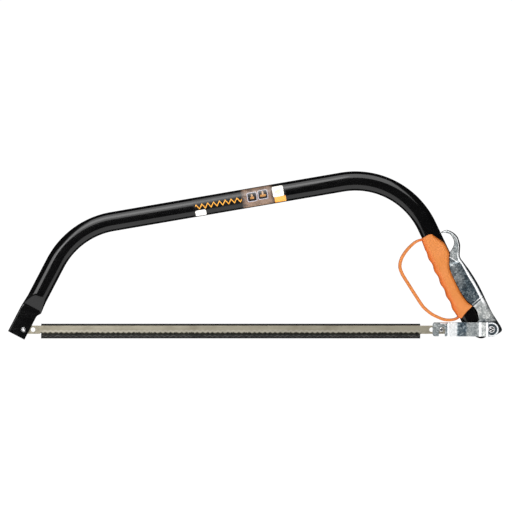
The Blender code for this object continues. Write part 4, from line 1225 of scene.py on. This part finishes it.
def make_rear_pin(material):
    half = BLADE_THICK / 2 + GAP + LINK_SHEET + 0.9
    r = BLADE_PIN_R
    end = [(0, half - 0.1), (0.8, half), (r - 0.9, half), (r - 0.5, half - 0.1), (r - 0.15, half - 0.35),
           (r, half - 0.7)]
    pin = lathe("hook_pin", end + [(a, -b) for a, b in end[::-1]], (PIN_SPAN, 0), 48)
    return finish_piece(pin, material, "blade", ["rear_blade_pin"], 40, False)


def make_guard(material):
    bore = BLADE_THICK / 2 + GAP
    floor = -TOOTH_TIP - GAP
    out = bore + GUARD_WALL
    low = floor - GUARD_FLOOR
    near = -GUARD_LIP
    corners = [(out, low), (out, GUARD_BACK), (bore, GUARD_BACK), (bore, floor), (-bore, floor),
               (-bore, near), (-out, near), (-out, low)]
    ring = []
    for i, c in enumerate(corners):
        before = Vector(corners[i - 1])
        corner = Vector(c)
        after = Vector(corners[(i + 1) % len(corners)])
        ring += filleted([before, corner, after], 0.65, 4)[1:-1]
    runs = 180
    rings = []
    for k in range(runs + 1):
        x = GUARD_START + (GUARD_END - GUARD_START) * k / runs
        ripple = 0.12 * math.sin(0.11 * x) * math.sin(0.037 * x + 1.0)
        ring_here = []
        for y, z in ring:
            slack = ripple if z > near + 0.1 or y < 0 and z > floor + 1 else 0.0
            ring_here.append(at(x, y + min(max(slack, -0.1), 0.0 if y < 0 else 0.1), z))
        rings.append(ring_here)
    guard = skin("tooth_guard_channel", rings)
    return finish_piece(guard, material, "guard", ["blade_guard"], 50)


# ---------------------------------------------------------------- the saw
bright = bright_steel()
riveted = rivet_zinc()
make_tube(enamel())
make_label()
make_grip(orange_plastic())
make_lever(lever_zinc())
make_link(link_zinc())
make_pivot_rivet(riveted)
make_link_rivet("link_stud_near", -1, riveted, "link_rivet_near")
make_link_rivet("link_stud_far", 1, riveted, "link_rivet_far")
make_blade(blade_steel())
make_front_pin(bright)
make_rear_pin(bright)
make_guard(guard_plastic())


# ---------------------------------------------------------------- floor, light and camera
FLOOR_GLOW = 1.0


def make_floor():
    """Pale sheet and a wide floor, low enough for the slack blade to swing above them."""
    for name, half_x, near, far, drop in (("studio_sheet", 1.3, -0.34, 0.5, 0.12),
                                          ("studio_floor", 6.0, -4.0, 6.0, 0.121)):
        verts = [(-half_x, near, -drop), (half_x, near, -drop), (half_x, far, -drop),
                 (-half_x, far, -drop)]
        floor = piece(name, verts, [(0, 1, 2, 3)])
        m = Shade(name + "_paper", (0.9, 0.9, 0.9), 0.9, Specular_IOR_Level=0.1)
        m.set("Base Color", m.ramp(m.noise(3.0, 3.0), (0.3, (0.89, 0.89, 0.89)),
                                   (0.7, (0.91, 0.91, 0.91))))
        m.set("Emission Color", (1.0, 1.0, 1.0))
        m.set("Emission Strength", FLOOR_GLOW)
        floor.data.materials.append(m.material)
        floor.visible_glossy = False
        floor.visible_shadow = False


def softbox(name, place, target, wide, tall, radiance):
    data = bpy.data.lights.new(name, "AREA")
    data.shape = "RECTANGLE"
    data.size = wide
    data.size_y = tall
    data.energy = radiance * math.pi * wide * tall
    lamp = bpy.data.objects.new(name, data)
    bpy.context.scene.collection.objects.link(lamp)
    lamp.location = place
    lamp.rotation_euler = (Vector(target) - Vector(place)).to_track_quat("-Z", "Y").to_euler()
    lamp.visible_camera = False
    return lamp


def make_world():
    """White to the camera, dim to everything else."""
    world = bpy.data.worlds.new("studio")
    bpy.context.scene.world = world
    world.use_nodes = True
    tree = world.node_tree
    dim = tree.nodes["Background"]
    dim.inputs["Color"].default_value = (0.92, 0.96, 1.0, 1.0)
    dim.inputs["Strength"].default_value = 0.03
    white = tree.nodes.new("ShaderNodeBackground")
    white.inputs["Color"].default_value = (1.0, 1.0, 1.0, 1.0)
    white.inputs["Strength"].default_value = 1.05
    path = tree.nodes.new("ShaderNodeLightPath")
    mix = tree.nodes.new("ShaderNodeMixShader")
    tree.links.new(path.outputs["Is Camera Ray"], mix.inputs[0])
    tree.links.new(dim.outputs[0], mix.inputs[1])
    tree.links.new(white.outputs[0], mix.inputs[2])
    tree.links.new(mix.outputs[0], tree.nodes["World Output"].inputs["Surface"])


make_floor()
make_world()
MIDDLE = (0.0, 0.0, 0.12)
softbox("overhead_softbox", (-0.05, -1.25, 1.25), MIDDLE, 1.9, 1.3, 2.7)
softbox("overhead_core", (-0.38, -1.5, 0.8), MIDDLE, 0.95, 1.0, 2.5)
softbox("left_strip", (-1.0, -1.6, 0.32), MIDDLE, 0.7, 0.75, 3.5)
softbox("left_wall", (-1.9, -0.25, 0.25), MIDDLE, 1.0, 0.9, 0.35)
softbox("back_softbox", (0.0, 1.6, 0.8), MIDDLE, 2.2, 0.6, 0.6)
softbox("light_table", (0.0, -1.0, -1.0), (0.0, 0.0, 0.1), 3.4, 1.6, 1.15)
bpy.context.scene.view_settings.view_transform = "Standard"

VIEW_WIDTH = 0.744
lens = bpy.data.cameras.new("photo_camera")
lens.lens = 260.0
lens.sensor_width = 36.0
camera = bpy.data.objects.new("photo_camera", lens)
bpy.context.scene.collection.objects.link(camera)
bpy.context.scene.camera = camera
distance = VIEW_WIDTH * lens.lens / lens.sensor_width
camera.location = (0.0017, -distance, 0.1215)
camera.rotation_euler = (math.radians(90), 0.0, 0.0)
lens.clip_start, lens.clip_end = 0.05, 50.0
